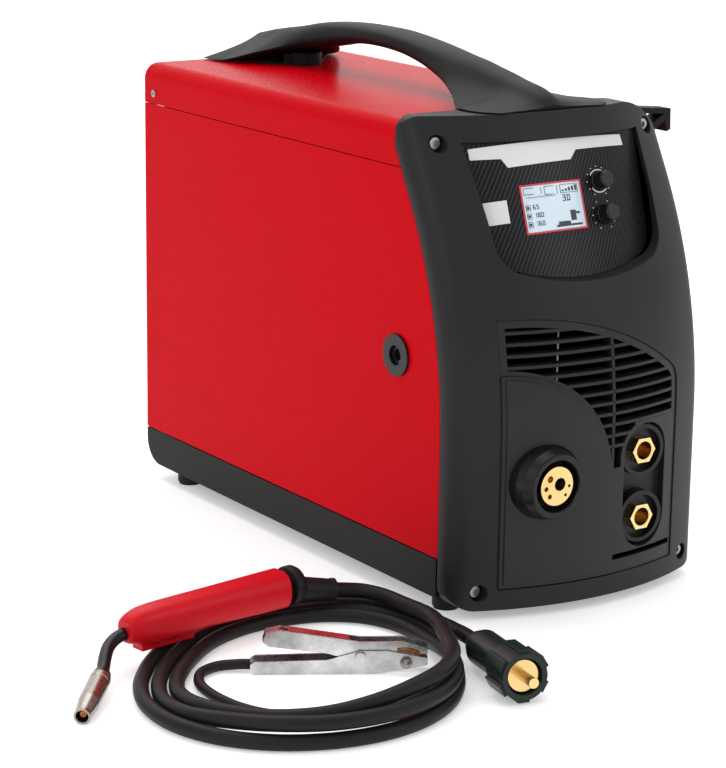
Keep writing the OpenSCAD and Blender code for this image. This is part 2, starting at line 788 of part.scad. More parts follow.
// Plastic hook on the cover's right shoulder for hanging up the torch.
hook_y = -123.5;
hook_w = 14;
module torch_hook() {
    color("#262527") through(hook_y, hook_y + hook_w) difference() {
        polygon([[94, 326], [94, 334.5], [108, 334], [137, 331.5], [137.5, 316], [134, 314.5], [132, 323],
            [114, 311], [100, 310]]);
        polygon([[108, 329.5], [131, 328], [112, 317]]);
        translate([half_w - right_bend, cover_top - right_bend]) circle(r = right_bend + seat);
    }
}

// ---------- inside the wire compartment ----------

wall_x = 5;
module partition() {
    color("#8f9296") difference() {
        translate([wall_x, seam_y + 20, tray_bottom + sheet + 0.02])
            cube([sheet, rear_y - seam_y - 25, cover_top - tray_bottom - 2 * sheet - 1]);
        translate([wall_x - 1, rear_y - tray_corner - 1, 0]) cube([4, 40, tray_bottom + tray_corner + 1]);
        translate([wall_x - 1, seam_y, 280]) cube([4, 65, 100]);
        translate([0, spool_y, spool_z]) rotate([0, 90, 0]) cylinder(r = 8.02, h = 20);
        translate([0, motor_y, roller_z]) rotate([0, 90, 0]) cylinder(r = 20, h = 20);
    }
}

feed_y = -95;
feed_x = -30;
roller_x = socket_x + 2.6;
roller_z = socket_z + 1 - drive_r - wire_d / 2;
motor_y = feed_y;
press_z = socket_z + 1 + wire_d / 2 + press_r + 0.05;
arm_y = feed_y + 42;
arm_z = press_z + 2;
// Cast plate that carries the rollers, with the wire's inlet and outlet guides.
module feed_plate() {
    color("#77797c") difference() {
        union() {
            translate([feed_x, feed_y - 55, 58]) cube([8, 112, 80]);
            translate([feed_x, feed_y - 55, 58]) cube([wall_x - feed_x - 0.02, 8, 80]);
            translate([feed_x, feed_y + 49, 58]) cube([wall_x - feed_x - 0.02, 8, 80]);
            for (gy = [feed_y - 50, feed_y + 34])
                translate([roller_x - 5, gy, socket_z - 4]) cube([feed_x - roller_x + 8, 16, 10]);
            translate([arm_pin_x, arm_y, arm_z]) rotate([0, 90, 0]) cylinder(r = 3, h = feed_x - arm_pin_x + 2);
        }
        translate([roller_x, 0, socket_z + 1]) rotate([90, 0, 0]) cylinder(r = 1.2, h = 400, center = true);
        translate([feed_x - 1, motor_y, roller_z]) rotate([0, 90, 0]) cylinder(r = 6, h = 20);
    }
}
arm_pin_x = roller_x - 7;

module feed_motor() {
    color("#3a3b3d") {
        translate([feed_x + 8.02, motor_y, roller_z]) rotate([0, 90, 0]) {
            cylinder(r = 18, h = 30);
            translate([0, 0, 29]) cylinder(r = 16, h = 40);
        }
        translate([feed_x + 70, motor_y - 10, roller_z - 6]) cube([7, 20, 12]);
    }
}

// Grooved roller on the motor's shaft.
module drive_roller() {
    color("#b9bcc0") translate([roller_x - 6, motor_y, roller_z]) rotate([0, 90, 0]) {
        rotate_extrude() polygon([[0, 0], [drive_r - 1, 0], [drive_r, 1], [drive_r, 5.3], [drive_r - 0.6, 6],
            [drive_r, 6.7], [drive_r, 11], [drive_r - 1, 12], [0, 12]]);
        translate([0, 0, 11]) cylinder(r = 5, h = feed_x + 7.6 - roller_x + 6 - 11);
    }
}

// Arm that presses the upper roller on the wire, hinged behind it.
arm_w = 7;
module pressure_arm() {
    color("#2b2b2d") difference() {
        union() {
            translate([arm_pin_x, arm_y, arm_z]) rotate([0, 90, 0]) cylinder(r = 7, h = arm_w - 1);
            translate([arm_pin_x, arm_y - 82, arm_z + 13]) cube([arm_w - 1, 84, 9]);
            translate([arm_pin_x, arm_y - 6, arm_z]) cube([arm_w - 1, 12, 20]);
            translate([arm_pin_x, feed_y - 6, press_z - 2]) cube([arm_w - 4, 12, 20]);
            translate([arm_pin_x + 2.5, feed_y, press_z]) rotate([0, 90, 0]) cylinder(r = 3, h = 12);
            translate([arm_pin_x - 3, arm_y - 84, arm_z + 13]) cube([14, 14, 9]);
        }
        translate([arm_pin_x - 1, arm_y, arm_z]) rotate([0, 90, 0]) cylinder(r = 3 + turn_fit, h = 20);
        translate([arm_pin_x + 4, arm_y - 77, arm_z]) cylinder(r = 3 + turn_fit, h = 40);
    }
}

module pressure_roller() {
    color("#b9bcc0") translate([arm_pin_x + 3.4, feed_y, press_z]) rotate([0, 90, 0]) difference() {
        cylinder(r = press_r, h = 8);
        translate([0, 0, -1]) cylinder(r = 3 + turn_fit, h = 20);
    }
}

module tension_knob() {
    color("#c41f2a") translate([arm_pin_x + 4, arm_y - 77, arm_z + 22.2]) difference() {
        union() {
            cylinder(r = 8, h = 22);
            translate([0, 0, -14]) cylinder(r = 3, h = 15);
        }
        for (flute = [0:9])
            rotate([0, 0, flute * 36]) translate([8.5, 0, 3]) cylinder(r = 1.2, h = 30);
    }
}

spool_y = 102;
spool_z = 188;
spool_x = socket_x - 4;
hub_end = spool_x - spool_w / 2 - 6;
// Hub that carries the spool, fixed to the partition.
module spool_hub() {
    color("#26272a") translate([0, spool_y, spool_z]) rotate([0, 90, 0]) {
        translate([0, 0, hub_end + 4]) cylinder(r = spool_bore_r - 1 - turn_fit, h = wall_x - hub_end - 4 - 12);
        translate([0, 0, wall_x - 12.02]) cylinder(r = 32, h = 12);
        translate([0, 0, wall_x - 5]) cylinder(r = 8, h = 12);
        translate([0, 0, hub_end - 4]) cylinder(r = 11, h = 9);
    }
}

// Plastic spool: two lightened flanges on a hollow barrel.
barrel_r = 33;
flange_t = 3;
module wire_spool() {
    color("#1d1d1f") translate([spool_x - spool_w / 2, spool_y, spool_z]) rotate([0, 90, 0]) difference() {
        union() {
            cylinder(r = spool_r, h = flange_t);
            translate([0, 0, spool_w - flange_t]) cylinder(r = spool_r, h = flange_t);
            cylinder(r = barrel_r, h = spool_w);
        }
        translate([0, 0, -1]) cylinder(r = spool_bore_r - 1, h = spool_w + 2);
        for (window = [0:5])
            for (z0 = [-1, spool_w - flange_t - 1])
                rotate([0, 0, window * 60 + 30]) translate([barrel_r + 14, 0, z0]) cylinder(r = 11, h = flange_t + 2);
    }
}

// Wound wire: a ribbed drum between the flanges.
winding_r = 86;
module wire_winding() {
    ribs = 16;
    pitch = (spool_w - 2 * flange_t - 0.04) / ribs;
    color("#b5723c") translate([spool_x - spool_w / 2 + flange_t + 0.02, spool_y, spool_z]) rotate([0, 90, 0])
        rotate_extrude() polygon(concat([[barrel_r + 0.02, 0]],
            [for (k = [0:ribs - 1]) each [[winding_r, k * pitch], [winding_r + 0.8, (k + 0.5) * pitch]]],
            [[winding_r, ribs * pitch], [barrel_r + 0.02, ribs * pitch]]));
}

// ---------- inside the power compartment ----------

power_x = wall_x + sheet;
module power_board() {
    color("#1f5a38") {
        translate([power_x + 8, -120, 40]) cube([90, 230, 2]);
        for (post = [[power_x + 12, -114], [power_x + 92, -114], [power_x + 12, 104], [power_x + 92, 104]])
            translate([post[0], post[1], tray_bottom + sheet + 0.02]) cylinder(r = 3, h = 40 - tray_bottom - sheet);
        for (can = [1:2])
            translate([power_x + 28 + can * 29, -95, 41]) cylinder(r = 12.5, h = 42);
        translate([power_x + 15, 70, 41]) cube([70, 26, 20]);
    }
}

fins = 11;
module heat_sink() {
    color("#a9acb0") {
        translate([power_x + 12, -60, 42.02]) cube([78, 150 - 30, 7]);
        for (fin = [0:fins - 1])
            translate([power_x + 12 + fin * 7.6, -60, 48]) cube([2, 120, 38]);
    }
}

module transformer() {
    color("#6b4a2e") {
        translate([power_x + 20, -30, 90.02]) rotate([0, 0, 0]) cube([60, 50, 10]);
        translate([power_x + 50, -5, 99]) cylinder(r = 27, h = 34);
        translate([power_x + 20, -30, 86.02]) cube([60, 50, 5]);
    }
}

fan_depth = 25;
fan_y = panel_y - fan_depth - 0.02;
module fan_frame() {
    color("#202022") difference() {
        union() {
            difference() {
                translate([fan_x - 46, fan_y, fan_z - 46]) cube([92, fan_depth, 92]);
                translate([fan_x, fan_y - 1, fan_z]) rotate([-90, 0, 0]) cylinder(r = 43, h = fan_depth + 2);
            }
            for (strut = [0:2])
                translate([fan_x, fan_y, fan_z]) rotate([0, 60 + strut * 120, 0]) translate([0, 0, -2]) cube([44, 3, 4]);
            translate([fan_x, fan_y, fan_z]) rotate([-90, 0, 0]) cylinder(r = 14, h = 4);
            translate([fan_x, fan_y, fan_z]) rotate([-90, 0, 0]) cylinder(r = 2, h = 16);
        }
        for (sx = [-1, 1])
            for (sz = [-1, 1])
                translate([fan_x + sx * 40.5, fan_y - 1, fan_z + sz * 40.5]) rotate([-90, 0, 0]) cylinder(r = 2.1, h = 40);
    }
    color("#202022") translate([power_x, fan_y, fan_z - 52]) cube([92, fan_depth, 6.2]);
}

module fan_rotor() {
    color("#2b2b2e") translate([fan_x, fan_y + 5, fan_z]) rotate([-90, 0, 0]) {
        difference() {
            cylinder(r = 15, h = 18);
            translate([0, 0, -1]) cylinder(r = 2 + turn_fit, h = 13);
        }
        for (blade = [0:6])
            rotate([0, 0, blade * 360 / 7]) translate([13, -1, 3]) rotate([38, 0, 0]) cube([27, 1.6, 16]);
    }
}

// Solenoid valve with the hose nipple that leaves through the back.
module gas_valve() {
    color("#a8863f") {
        translate([gas_x, rear_y + 16, gas_z]) rotate([90, 0, 0]) cylinder(r = 4, h = 40);
        for (barb = [0:2])
            translate([gas_x, rear_y + 15.5 - barb * 4, gas_z]) rotate([90, 0, 0]) cylinder(r = 4.8, h = 1.5);
        translate([gas_x, panel_y + sheet + 3, gas_z]) rotate([90, 0, 0]) cylinder(r = 9, h = 3, $fn = 6);
        translate([gas_x, panel_y + sheet + 1, gas_z]) rotate([90, 0, 0]) cylinder(r = 6, h = 8);
    }
    color("#a8863f") translate([gas_x - 12, rear_y - 55, gas_z - 12]) cube([24, 34, 40]);
}

module switch_body() {
    color("#1b1b1d") translate([switch_x, panel_y + sheet, switch_z]) rotate([90, 0, 0]) difference() {
        union() {
            translate([0, 0, -3]) cylinder(r = 17, h = 3);
            cylinder(r = 12, h = 10);
            translate([-18, -18, sheet + 0.02]) cube([36, 36, 34]);
        }
        translate([0, 0, -4]) cylinder(r = 4 + turn_fit, h = 22);
    }
}

module switch_knob() {
    color("#3c3c40") translate([switch_x, panel_y + sheet + 3.4, switch_z]) rotate([-90, 0, 0]) {
        cylinder(r = 13, h = 4);
        translate([-3.5, -13, 3]) cube([7, 26, 13]);
        translate([0, 0, -18]) cylinder(r = 4, h = 19);
    }
}

// Screwed gland for the mains lead.
gland_bore_r = 5;
module cable_gland() {
    color("#1c1c1e") translate([gland_x, panel_y + sheet, gland_z]) rotate([-90, 0, 0]) difference() {
        union() {
            cylinder(r = 14, h = 5, $fn = 6);
            rotate_extrude() polygon([[0, 4], [12.5, 4], [12.5, 15], [9, 22], [0, 22]]);
            translate([0, 0, -12]) cylinder(r = 10, h = 13);
            translate([0, 0, -sheet - 5]) cylinder(r = 14, h = 4.9, $fn = 6);
        }
        translate([0, 0, -20]) cylinder(r = gland_bore_r, h = 60);
    }
}

// ---------- tubes that follow a route ----------

function unit(v) = v / norm(v);
function direction(route, i) =
    i == 0 ? unit(route[1] - route[0])
    : i == len(route) - 1 ? unit(route[i] - route[i - 1])
    : unit(unit(route[i + 1] - route[i]) + unit(route[i] - route[i - 1]));
// Ring of a level-keeping tube: its side vector stays horizontal.
function tube_ring(route, i, r, sides) =
    let (d = direction(route, i),
        side = abs(d[2]) > 0.98 ? [0, 1, 0] : unit(cross(d, [0, 0, 1])),
        up = cross(side, d))
    [for (k = [0:sides - 1])
        let (a = 360 * (k + 0.5) / sides)
        route[i] + r * (cos(a) * side + sin(a) * up)];
module tube(route, r, sides) {
    loft([for (i = [0:len(route) - 1]) tube_ring(route, i, r / cos(180 / sides), sides)]);
}
// Smooth curve through hand-chosen points, with the given steps between each pair.
function curve_point(p, i, t) =
    let (n = len(p) - 1,
        a = i == 0 ? 2 * p[0] - p[1] : p[i - 1],
        b = p[i],
        c = p[i + 1],
        d = i + 2 > n ? 2 * p[n] - p[n - 1] : p[i + 2])
    0.5 * (2 * b + (c - a) * t + (2 * a - 5 * b + 4 * c - d) * t * t + (3 * b - a - 3 * c + d) * t * t * t);
function smooth(p, steps) = concat(
    [for (i = [0:len(p) - 2]) for (s = [0:steps - 1]) curve_point(p, i, s / steps)],
    [p[len(p) - 1]]);

// Points children's +Z from one place to another.
module along(from, to) {
    d = to - from;
    translate(from) rotate([0, acos(d[2] / norm(d)), atan2(d[1], d[0])]) children();
}

// ---------- the torch ----------

torch_front = [-345, -163, 28];
torch_rear = [-209, -144, 28];
// Stations of the handle from its nose to its round rear: distance, half width,
// height of the underside and of the back over the axis.
grip_run = [
    [0, 6.5, -9, 6], [4, 9, -12, 9.5], [12, 10.5, -14, 12], [24, 11.5, -14, 13],
    [44, 12, -13.5, 13.2], [60, 12.2, -13, 13.2], [68, 12.4, -13, 13.2], [90, 12.8, -13.2, 13.3],
    [114, 13.3, -13.4, 13.4], [132, grip_r, -grip_r, grip_r]
];
function grip_ring(s) = [
    for (k = [0:19])
        let (a = 360 * k / 20,
            c = sign(cos(a)) * pow(abs(cos(a)), 0.85),
            h = pow(abs(sin(a)), 0.85),
            z = sin(a) >= 0 ? s[3] * h : s[2] * h)
        [s[0], -c * s[1], z]
];
torch_tilt = atan2(torch_rear[1] - torch_front[1], torch_rear[0] - torch_front[0]);
module on_torch() {
    translate(torch_front) rotate([0, 0, torch_tilt]) children();
}
module torch_handle() {
    color("#d71323") on_torch() difference() {
        loft([for (s = grip_run) grip_ring(s)]);
        translate([10, -5.8, -20]) cube([47, 11.6, 15.3]);
        translate([-5, 0, neck_drop]) rotate([0, 90, 0]) cylinder(r = neck_r + 0.1, h = 14);
    }
}

module torch_trigger() {
    color("#d71323") on_torch() difference() {
        union() {
            translate([11, -5.4, -16.2]) cube([43, 10.8, 6.2]);
            translate([13, 0, -12.5]) rotate([90, 0, 0]) cylinder(r = 2.5, h = 10.8, center = true);
        }
        translate([60, 0, -3.5]) rotate([90, 0, 0]) cylinder(r = 9, h = 30, center = true);
    }
}

// Bent neck: straight out of the handle's nose, then down and round to the nozzle.
neck_r = 4.4;
neck_drop = -3;
neck_route = [[-336.1, -161.8, 25], [-341.5, -162.5, 25], [-347, -163.3, 24.9], [-354, -166, 23.6], [-361, -171, 21.3],
    [-367, -178, 18], [-372, -185, 14.8], [-375.4, -190, 13]];
module torch_neck() {
    color("#1d1d1f") tube(smooth(neck_route, 2), neck_r, 12);
    color("#1d1d1f") along([-374.8, -189.5, 13.1], nozzle_base) cylinder(r = 6, h = 8);
}
nozzle_base = [-380, -196, 12];
nozzle_tip = [-411, -231, 5.9];
module gas_nozzle() {
    color("#8f8b84") along(nozzle_base, nozzle_tip) difference() {
        rotate_extrude() polygon([[0, 0.1], [6.6, 0.1], [6.9, 1], [6.9, 5], [6.5, 6], [6.9, 7], [6.9, nozzle_l - 18],
            [5.4, nozzle_l - 3], [5.4, nozzle_l], [0, nozzle_l]]);
        translate([0, 0, 14]) cylinder(r = 4.1, h = nozzle_l);
    }
}
module contact_tip() {
    color("#b4623c") along(nozzle_base, nozzle_tip) translate([0, 0, 14.02]) difference() {
        union() {
            cylinder(r = 3, h = 12);
            cylinder(r = 2, h = nozzle_l - 14 - 3);
        }
        translate([0, 0, 10]) cylinder(r = 0.6, h = nozzle_l);
    }
}

// Collar on the handle's end and a tapered sleeve that droops towards the pile of cable.
relief_from = [-208, -142.9, 26];
relief_to = [-172.5, -148.5, 20.5];
relief_l = norm(relief_to - relief_from);
relief_dir = (relief_to - relief_from) / relief_l;
module torch_relief() {
    color("#19191b") difference() {
        union() {
            on_torch() translate([132.02, 0, 0]) rotate([0, 90, 0]) rotate_extrude()
                polygon([[0, 0], [grip_r - 0.3, 0], [grip_r + 0.3, 1], [grip_r + 0.3, 6], [grip_r - 1, 8.5], [0, 8.5]]);
            along(relief_from, relief_to) rotate_extrude() polygon([[0, 0], [9.4, 0], [7, relief_l - 3], [8, relief_l - 2.5],
                [8, relief_l], [0, relief_l]]);
        }
        along(relief_to - 6 * relief_dir, relief_to) cylinder(r = cable_d / 2 + 0.4, h = 10);
    }
}

// The torch cable: three loops and a part laid down clockwise from the relief, the first
// on top and the last on the floor, then straight into the plug.
coil_x = -247;
coil_y = -228;
step_angle = 15;
first_angle = 20;
last_angle = -1075;
// Oval of the pile's outermost loop against the angle.
function pile_r(a) = 112.8 - 6.3 * cos(a) - 9.7 * sin(a) + 12.4 * sin(2 * a) + 0.6 * sin(3 * a)
    + 0.5 * cos(4 * a) + 1.8 * sin(4 * a);
// How far inside the oval the cable lies, and how high, against the running angle.
pile_shift = [[60, -4], [46, -3], [33, -4], [19, -2.5], [2, -2], [-10, -5], [-20, -6], [-35, -8], [-55, -3],
    [-68, -2], [-76, -4.5], [-90, -9.8], [-105, -12.5], [-125, -13.5], [-141, -19.5], [-155, -22.5], [-165, -24],
    [-178, -24.5], [-190, -24.5], [-213, -24], [-262, -24], [-301, -18], [-317, -12.5], [-358, -12.5],
    [-370, -11], [-380, -10], [-395, -5], [-417, 0], [-455, 0], [-480, -1], [-495, -5.5], [-510, -10.2],
    [-522, -12.2], [-535, -12.2], [-622, -12.2], [-661, -6], [-677, 0], [-982, 0], [-1021, 6], [-1037, 12.5],
    [-1100, 12.5]];
pile_height = [[60, 20], [45, 18], [28, 17.3], [2, 17.3], [-10, 20], [-20, 23.2], [-35, 28.3], [-50, 28.9],
    [-68, 28.9], [-76, 28], [-90, 25], [-105, 20], [-125, 16.2], [-141, 14], [-155, 12], [-165, 9.5], [-178, 7],
    [-190, 5.5], [-358, 5.5], [-370, 8.5], [-380, 12], [-395, 16.5], [-410, 17.2], [-455, 17.2], [-480, 17],
    [-495, 16], [-510, 12.2], [-522, 7.5], [-535, 5.5], [-1062, 5.5], [-1078, 7]];
function softened(a, table) = (lookup(a - 8, table) + 2 * lookup(a, table) + lookup(a + 8, table)) / 4;
function coil_r(a) = pile_r(a) + softened(a, pile_shift);
function coil_at(a) = [coil_x + coil_r(a) * cos(a), coil_y + coil_r(a) * sin(a), softened(a, pile_height)];
coil_points = [for (a = [first_angle:-step_angle:last_angle]) coil_at(a)];
lead_points = [[-152.6, -155.3, 18.1], [-146.8, -164.3, 17.6], [-143.6, -175.5, 17.3]];
plug_rear = [-140, -271.5, 14];
plug_front = [-160, -353.5, 19];
plug_dir = unit(plug_front - plug_rear);
tail_points = [[-128.5, -233, 8.3], [-133.3, -248.5, 11.3]];
cable_route = concat([relief_to - 5 * relief_dir, relief_to, relief_to + cable_d * relief_dir], lead_points,
    coil_points, tail_points, [plug_rear - cable_d * plug_dir, plug_rear, plug_rear + 5 * plug_dir]);
loop_n = 360 / step_angle;
near_n = loop_n / 3;
least_gap = min([for (i = [0:len(cable_route) - near_n - 1]) for (j = [i + near_n:len(cable_route) - 1])
    norm(cable_route[i] - cable_route[j])]) - cable_d;
cable_length = [for (i = 0, sum = 0; i < len(cable_route) - 1; sum = sum + norm(cable_route[i + 1] - cable_route[i]),
    i = i + 1) sum];
echo(least_gap_mm = least_gap, cable_length_mm = cable_length[len(cable_length) - 1]);
module torch_cable() {
    color("#232121") tube(cable_route, cable_d / 2 * cos(30), 6);
}

// Plug for the torch socket: sleeve with a bore for the cable, ribbed nut, brass core.
module plug_body() {
    color("#14231f") along(plug_rear, plug_front) difference() {
        rotate_extrude() polygon([[0, 0], [7, 0], [9, 4], [plug_r, 14], [plug_r, 52], [11, 54], [11, 66], [0, 66]]);
        translate([0, 0, -1]) cylinder(r = cable_d / 2 + 0.4, h = 7);
    }
}
module plug_nut() {
    color("#14231f") along(plug_rear, plug_front) translate([0, 0, 54.4]) difference() {
        union() {
            cylinder(r = plug_nut_r - 2, h = 28);
            for (lug = [0:5])
                rotate([0, 0, lug * 60]) translate([0, -4, 2]) cube([plug_nut_r, 8, 24]);
        }
        translate([0, 0, -1]) cylinder(r = 11 + turn_fit, h = 12.6);
        translate([0, 0, 11]) cylinder(r = 12, h = 30);
    }
}
module plug_core() {
    color("#d8b565") along(plug_rear, plug_front) translate([0, 0, 66.02]) {
        cylinder(r = 10.5, h = 13);
        cylinder(r = 3.4, h = 30);
    }
}

// ---------- the earth clamp ----------

clamp_jaw = [-171, -270, 0];
clamp_tail = [-276, -208, 0];
clamp_turn = atan2(clamp_jaw[1] - clamp_tail[1], clamp_jaw[0] - clamp_tail[0]);
pivot_at = 72;
pivot_h = 12;
// Clamp frame: X from the tail to the jaw, lying on its side pair of arms.
module on_clamp() {
    translate([clamp_tail[0], clamp_tail[1], 0]) rotate([0, 0, clamp_turn]) children();
}
arm_half = 7;
module clamp_lower() {
    color("#adabab") on_clamp() difference() {
        translate([0, arm_half, 0]) rotate([90, 0, 0]) linear_extrude(2 * arm_half)
            polygon([[0, 3], [3, 0], [80, 0], [clamp_l - 5, 5], [clamp_l, 6], [clamp_l, 11], [90, 16], [pivot_at, 16],
                [50, 10], [3, 9], [0, 7]]);
        translate([2, -arm_half + 1.2, 1.4]) cube([clamp_l - 9, 2 * arm_half - 2.4, 30]);
        translate([-1, 0, 5]) rotate([0, 90, 0]) cylinder(r = earth_cable_d / 2 + 0.2, h = 5);
        translate([pivot_at, 0, pivot_h]) rotate([90, 0, 0]) cylinder(r = 2 + turn_fit, h = 40, center = true);
    }
}
module clamp_upper() {
    color("#adabab") on_clamp() difference() {
        translate([0, arm_half - 1.5, 0]) rotate([90, 0, 0]) linear_extrude(2 * arm_half - 3)
            polygon([[8, 22], [12, 19], [50, 14], [pivot_at, 7.5], [90, 12.5], [clamp_l, 13.5], [clamp_l, 17],
                [100, 22], [pivot_at, 22], [20, 30], [10, 28]]);
        translate([10, -arm_half + 2.7, 5]) cube([clamp_l - 18, 2 * arm_half - 5.4, 18]);
        translate([pivot_at, 0, pivot_h]) rotate([90, 0, 0]) cylinder(r = 2 + turn_fit, h = 40, center = true);
        translate([22, 0, 0]) cylinder(r = 3.2, h = 60);
    }
}
module clamp_pin() {
    color("#c4c4c4") on_clamp() translate([pivot_at, 0, pivot_h]) rotate([90, 0, 0]) {
        cylinder(r = 2, h = 2 * arm_half + 3, center = true);
        for (side = [-1, 1])
            translate([0, 0, side * (arm_half + 1.1)]) cylinder(r = 3.5, h = 2, center = true);
    }
}

// Torsion spring round the pin.
spring_turns = 4;
spring_d = 1.2;
spring_route = [for (k = [0:8 * spring_turns])
    let (a = 45 * k)
    [3.4 * cos(a), -3 + 6 * k / (8 * spring_turns), 3.4 * sin(a)]];
module clamp_spring() {
    color("#9c9c9c") on_clamp() translate([pivot_at, 0, pivot_h]) tube(spring_route, spring_d / 2, 6);
}

earth_points = [[-269.1, -212.1, 5], [-276, -208, 5], [-283, -203.9, 5], [-295, -198.2, 4.2], [-308, -201.5, 4],
    [-316, -210, 4], [-321.5, -222, 4], [-323.5, -237, 4], [-323, -252, 4], [-320, -268, 4], [-313, -284, 4],
    [-300, -299.5, 4], [-281, -311.5, 4], [-262, -317.5, 4.3], [-248, -318.6, 5.5], [-239.6, -316.6, 6.8],
    [-232, -314, 6.8], [-229.2, -313, 6.8]];
module earth_cable() {
    color("#232121") tube(smooth(earth_points, 2), earth_cable_d / 2, 8);
}
earth_plug_rear = [-232, -314, 6.8];
earth_plug_front = [-190.5, -299.5, 6.8];
module earth_plug() {
    color("#1a1a1c") along(earth_plug_rear, earth_plug_front) difference() {
        union() {
            rotate_extrude() polygon([[0, 0], [5.4, 0], [6.4, 6], [6.4, 26], [5, 28], [0, 28]]);
            cylinder(r = 4, h = 44);
        }
        translate([0, 0, -1]) cylinder(r = earth_cable_d / 2 + 0.3, h = 5);
    }
}

base_tray();
rubber_feet();
rear_panel();
top_cover();
side_door();
front_frame();
grille_panel();
torch_panel();
control_fascia();
silver_trims();
display_bezel();
display_window();
knob_upper();
knob_lower();
socket_collar();
euro_socket();
dinse_shrouds();
dinse_inserts();
handle_grip();
handle_pad();
case_screws();
torch_hook();
latch_bezel();
door_latch();
hinge_pins();
partition();
feed_plate();
feed_motor();
drive_roller();
pressure_arm();
pressure_roller();
tension_knob();
spool_hub();
wire_spool();
wire_winding();
power_board();
heat_sink();
transformer();
fan_frame();
fan_rotor();
gas_valve();
switch_body();
switch_knob();
cable_gland();
torch_handle();
torch_trigger();
torch_neck();
gas_nozzle();
contact_tip();
torch_relief();
torch_cable();
plug_body();
plug_nut();
plug_core();
clamp_lower();
clamp_upper();
clamp_spring();
clamp_pin();
earth_cable();
earth_plug();
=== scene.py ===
"""Looks of a MIG welding machine with its torch, coiled torch cable and earth clamp.

The frame is that of the CAD model: metres, Z up. Sizes here are in millimetres, and the
functions that make a mesh turn them into metres.
"""
import math

import bpy
import numpy as np
from mathutils import Matrix, Vector


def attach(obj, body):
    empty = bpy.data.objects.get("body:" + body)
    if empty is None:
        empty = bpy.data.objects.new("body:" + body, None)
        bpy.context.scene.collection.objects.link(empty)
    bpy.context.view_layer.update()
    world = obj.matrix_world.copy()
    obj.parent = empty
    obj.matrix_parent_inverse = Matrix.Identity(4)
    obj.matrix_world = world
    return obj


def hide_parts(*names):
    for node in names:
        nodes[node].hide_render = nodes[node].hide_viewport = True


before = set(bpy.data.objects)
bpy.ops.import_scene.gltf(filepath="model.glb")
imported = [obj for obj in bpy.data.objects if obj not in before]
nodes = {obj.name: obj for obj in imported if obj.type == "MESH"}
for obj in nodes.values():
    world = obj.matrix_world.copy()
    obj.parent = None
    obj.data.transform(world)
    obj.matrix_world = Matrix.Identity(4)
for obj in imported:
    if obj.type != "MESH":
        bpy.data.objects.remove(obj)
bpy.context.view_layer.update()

scene = bpy.context.scene

# ---------- camera, lights and backdrop ----------
# A long lens a little above the machine, turned to its front and its door side. A sheet of
# matt white paper bends up behind it, and large soft lights stand above and on both sides.

camera_place = (-1.10051, -1.56132, 0.59987)
yaw, pitch, roll = math.radians(33.935), math.radians(14.333), math.radians(0.7745)
look = Vector((math.sin(yaw) * math.cos(pitch), math.cos(yaw) * math.cos(pitch), -math.sin(pitch)))
level = Vector((math.cos(yaw), -math.sin(yaw), 0))
above = level.cross(look)
cam_right = math.cos(roll) * level + math.sin(roll) * above
cam_up = math.cos(roll) * above - math.sin(roll) * level
camera_data = bpy.data.cameras.new("camera")
camera_data.lens = 127.27
camera_data.sensor_fit = "HORIZONTAL"
camera_data.sensor_width = 36
camera = bpy.data.objects.new("camera", camera_data)
camera.matrix_world = Matrix(
    [(cam_right[i], cam_up[i], -look[i], camera_place[i]) for i in range(3)] + [(0, 0, 0, 1)])
scene.collection.objects.link(camera)
scene.camera = camera
scene.view_settings.view_transform = "Standard"

world = bpy.data.worlds.new("studio")
scene.world = world
world.use_nodes = True
world.node_tree.nodes["Background"].inputs["Color"].default_value = (1, 1, 1, 1)
world.node_tree.nodes["Background"].inputs["Strength"].default_value = 0.75
# Name, place, target, side length and power of each light.
for name, place, target, size, power in [
        ("overhead", (0.2, 0.9, 2.4), (0, 0.1, 0.2), 2.2, 34),
        ("left_front", (-2.6, -1.0, 1.8), (0, 0, 0.2), 1.6, 16),
        ("right_front", (1.6, -2.8, 1.5), (0, -0.1, 0.15), 1.3, 14)]:
    lamp = bpy.data.lights.new(name, "AREA")
    lamp.size = size
    lamp.energy = power
    stand = bpy.data.objects.new(name, lamp)
    stand.location = place
    stand.rotation_mode = "QUATERNION"
    stand.rotation_quaternion = (Vector(target) - Vector(place)).to_track_quat("-Z", "Y")
    scene.collection.objects.link(stand)


def new_object(name, vertices, faces):
    """Mesh object at the origin, from points in millimetres and the point numbers of each face."""
    mesh = bpy.data.meshes.new(name)
    mesh.from_pydata((np.asarray(vertices, float) * 0.001).tolist(), [], [tuple(f) for f in faces])
    made = bpy.data.objects.new(name, mesh)
    scene.collection.objects.link(made)
    return made


def soften(made, angle):
    """Smooth shading, with edges that turn by more than the angle in degrees kept sharp."""
    made.data.shade_smooth()
    made.data.set_sharp_from_angle(angle=math.radians(angle))


def srgb(code):
    """Linear colour of a sRGB hex code."""
    parts = [int(code[i:i + 2], 16) / 255 for i in (1, 3, 5)]
    return tuple(p / 12.92 if p <= 0.04045 else ((p + 0.055) / 1.055) ** 2.4 for p in parts) + (1.0,)


def add(tree, kind, inputs, **settings):
    """One shader node with its properties set and its inputs set or linked."""
    made = tree.nodes.new(kind)
    for key, value in settings.items():
        setattr(made, key, value)
    for key, value in inputs.items():
        if isinstance(value, bpy.types.NodeSocket):
            tree.links.new(value, made.inputs[key])
        else:
            made.inputs[key].default_value = value
    return made


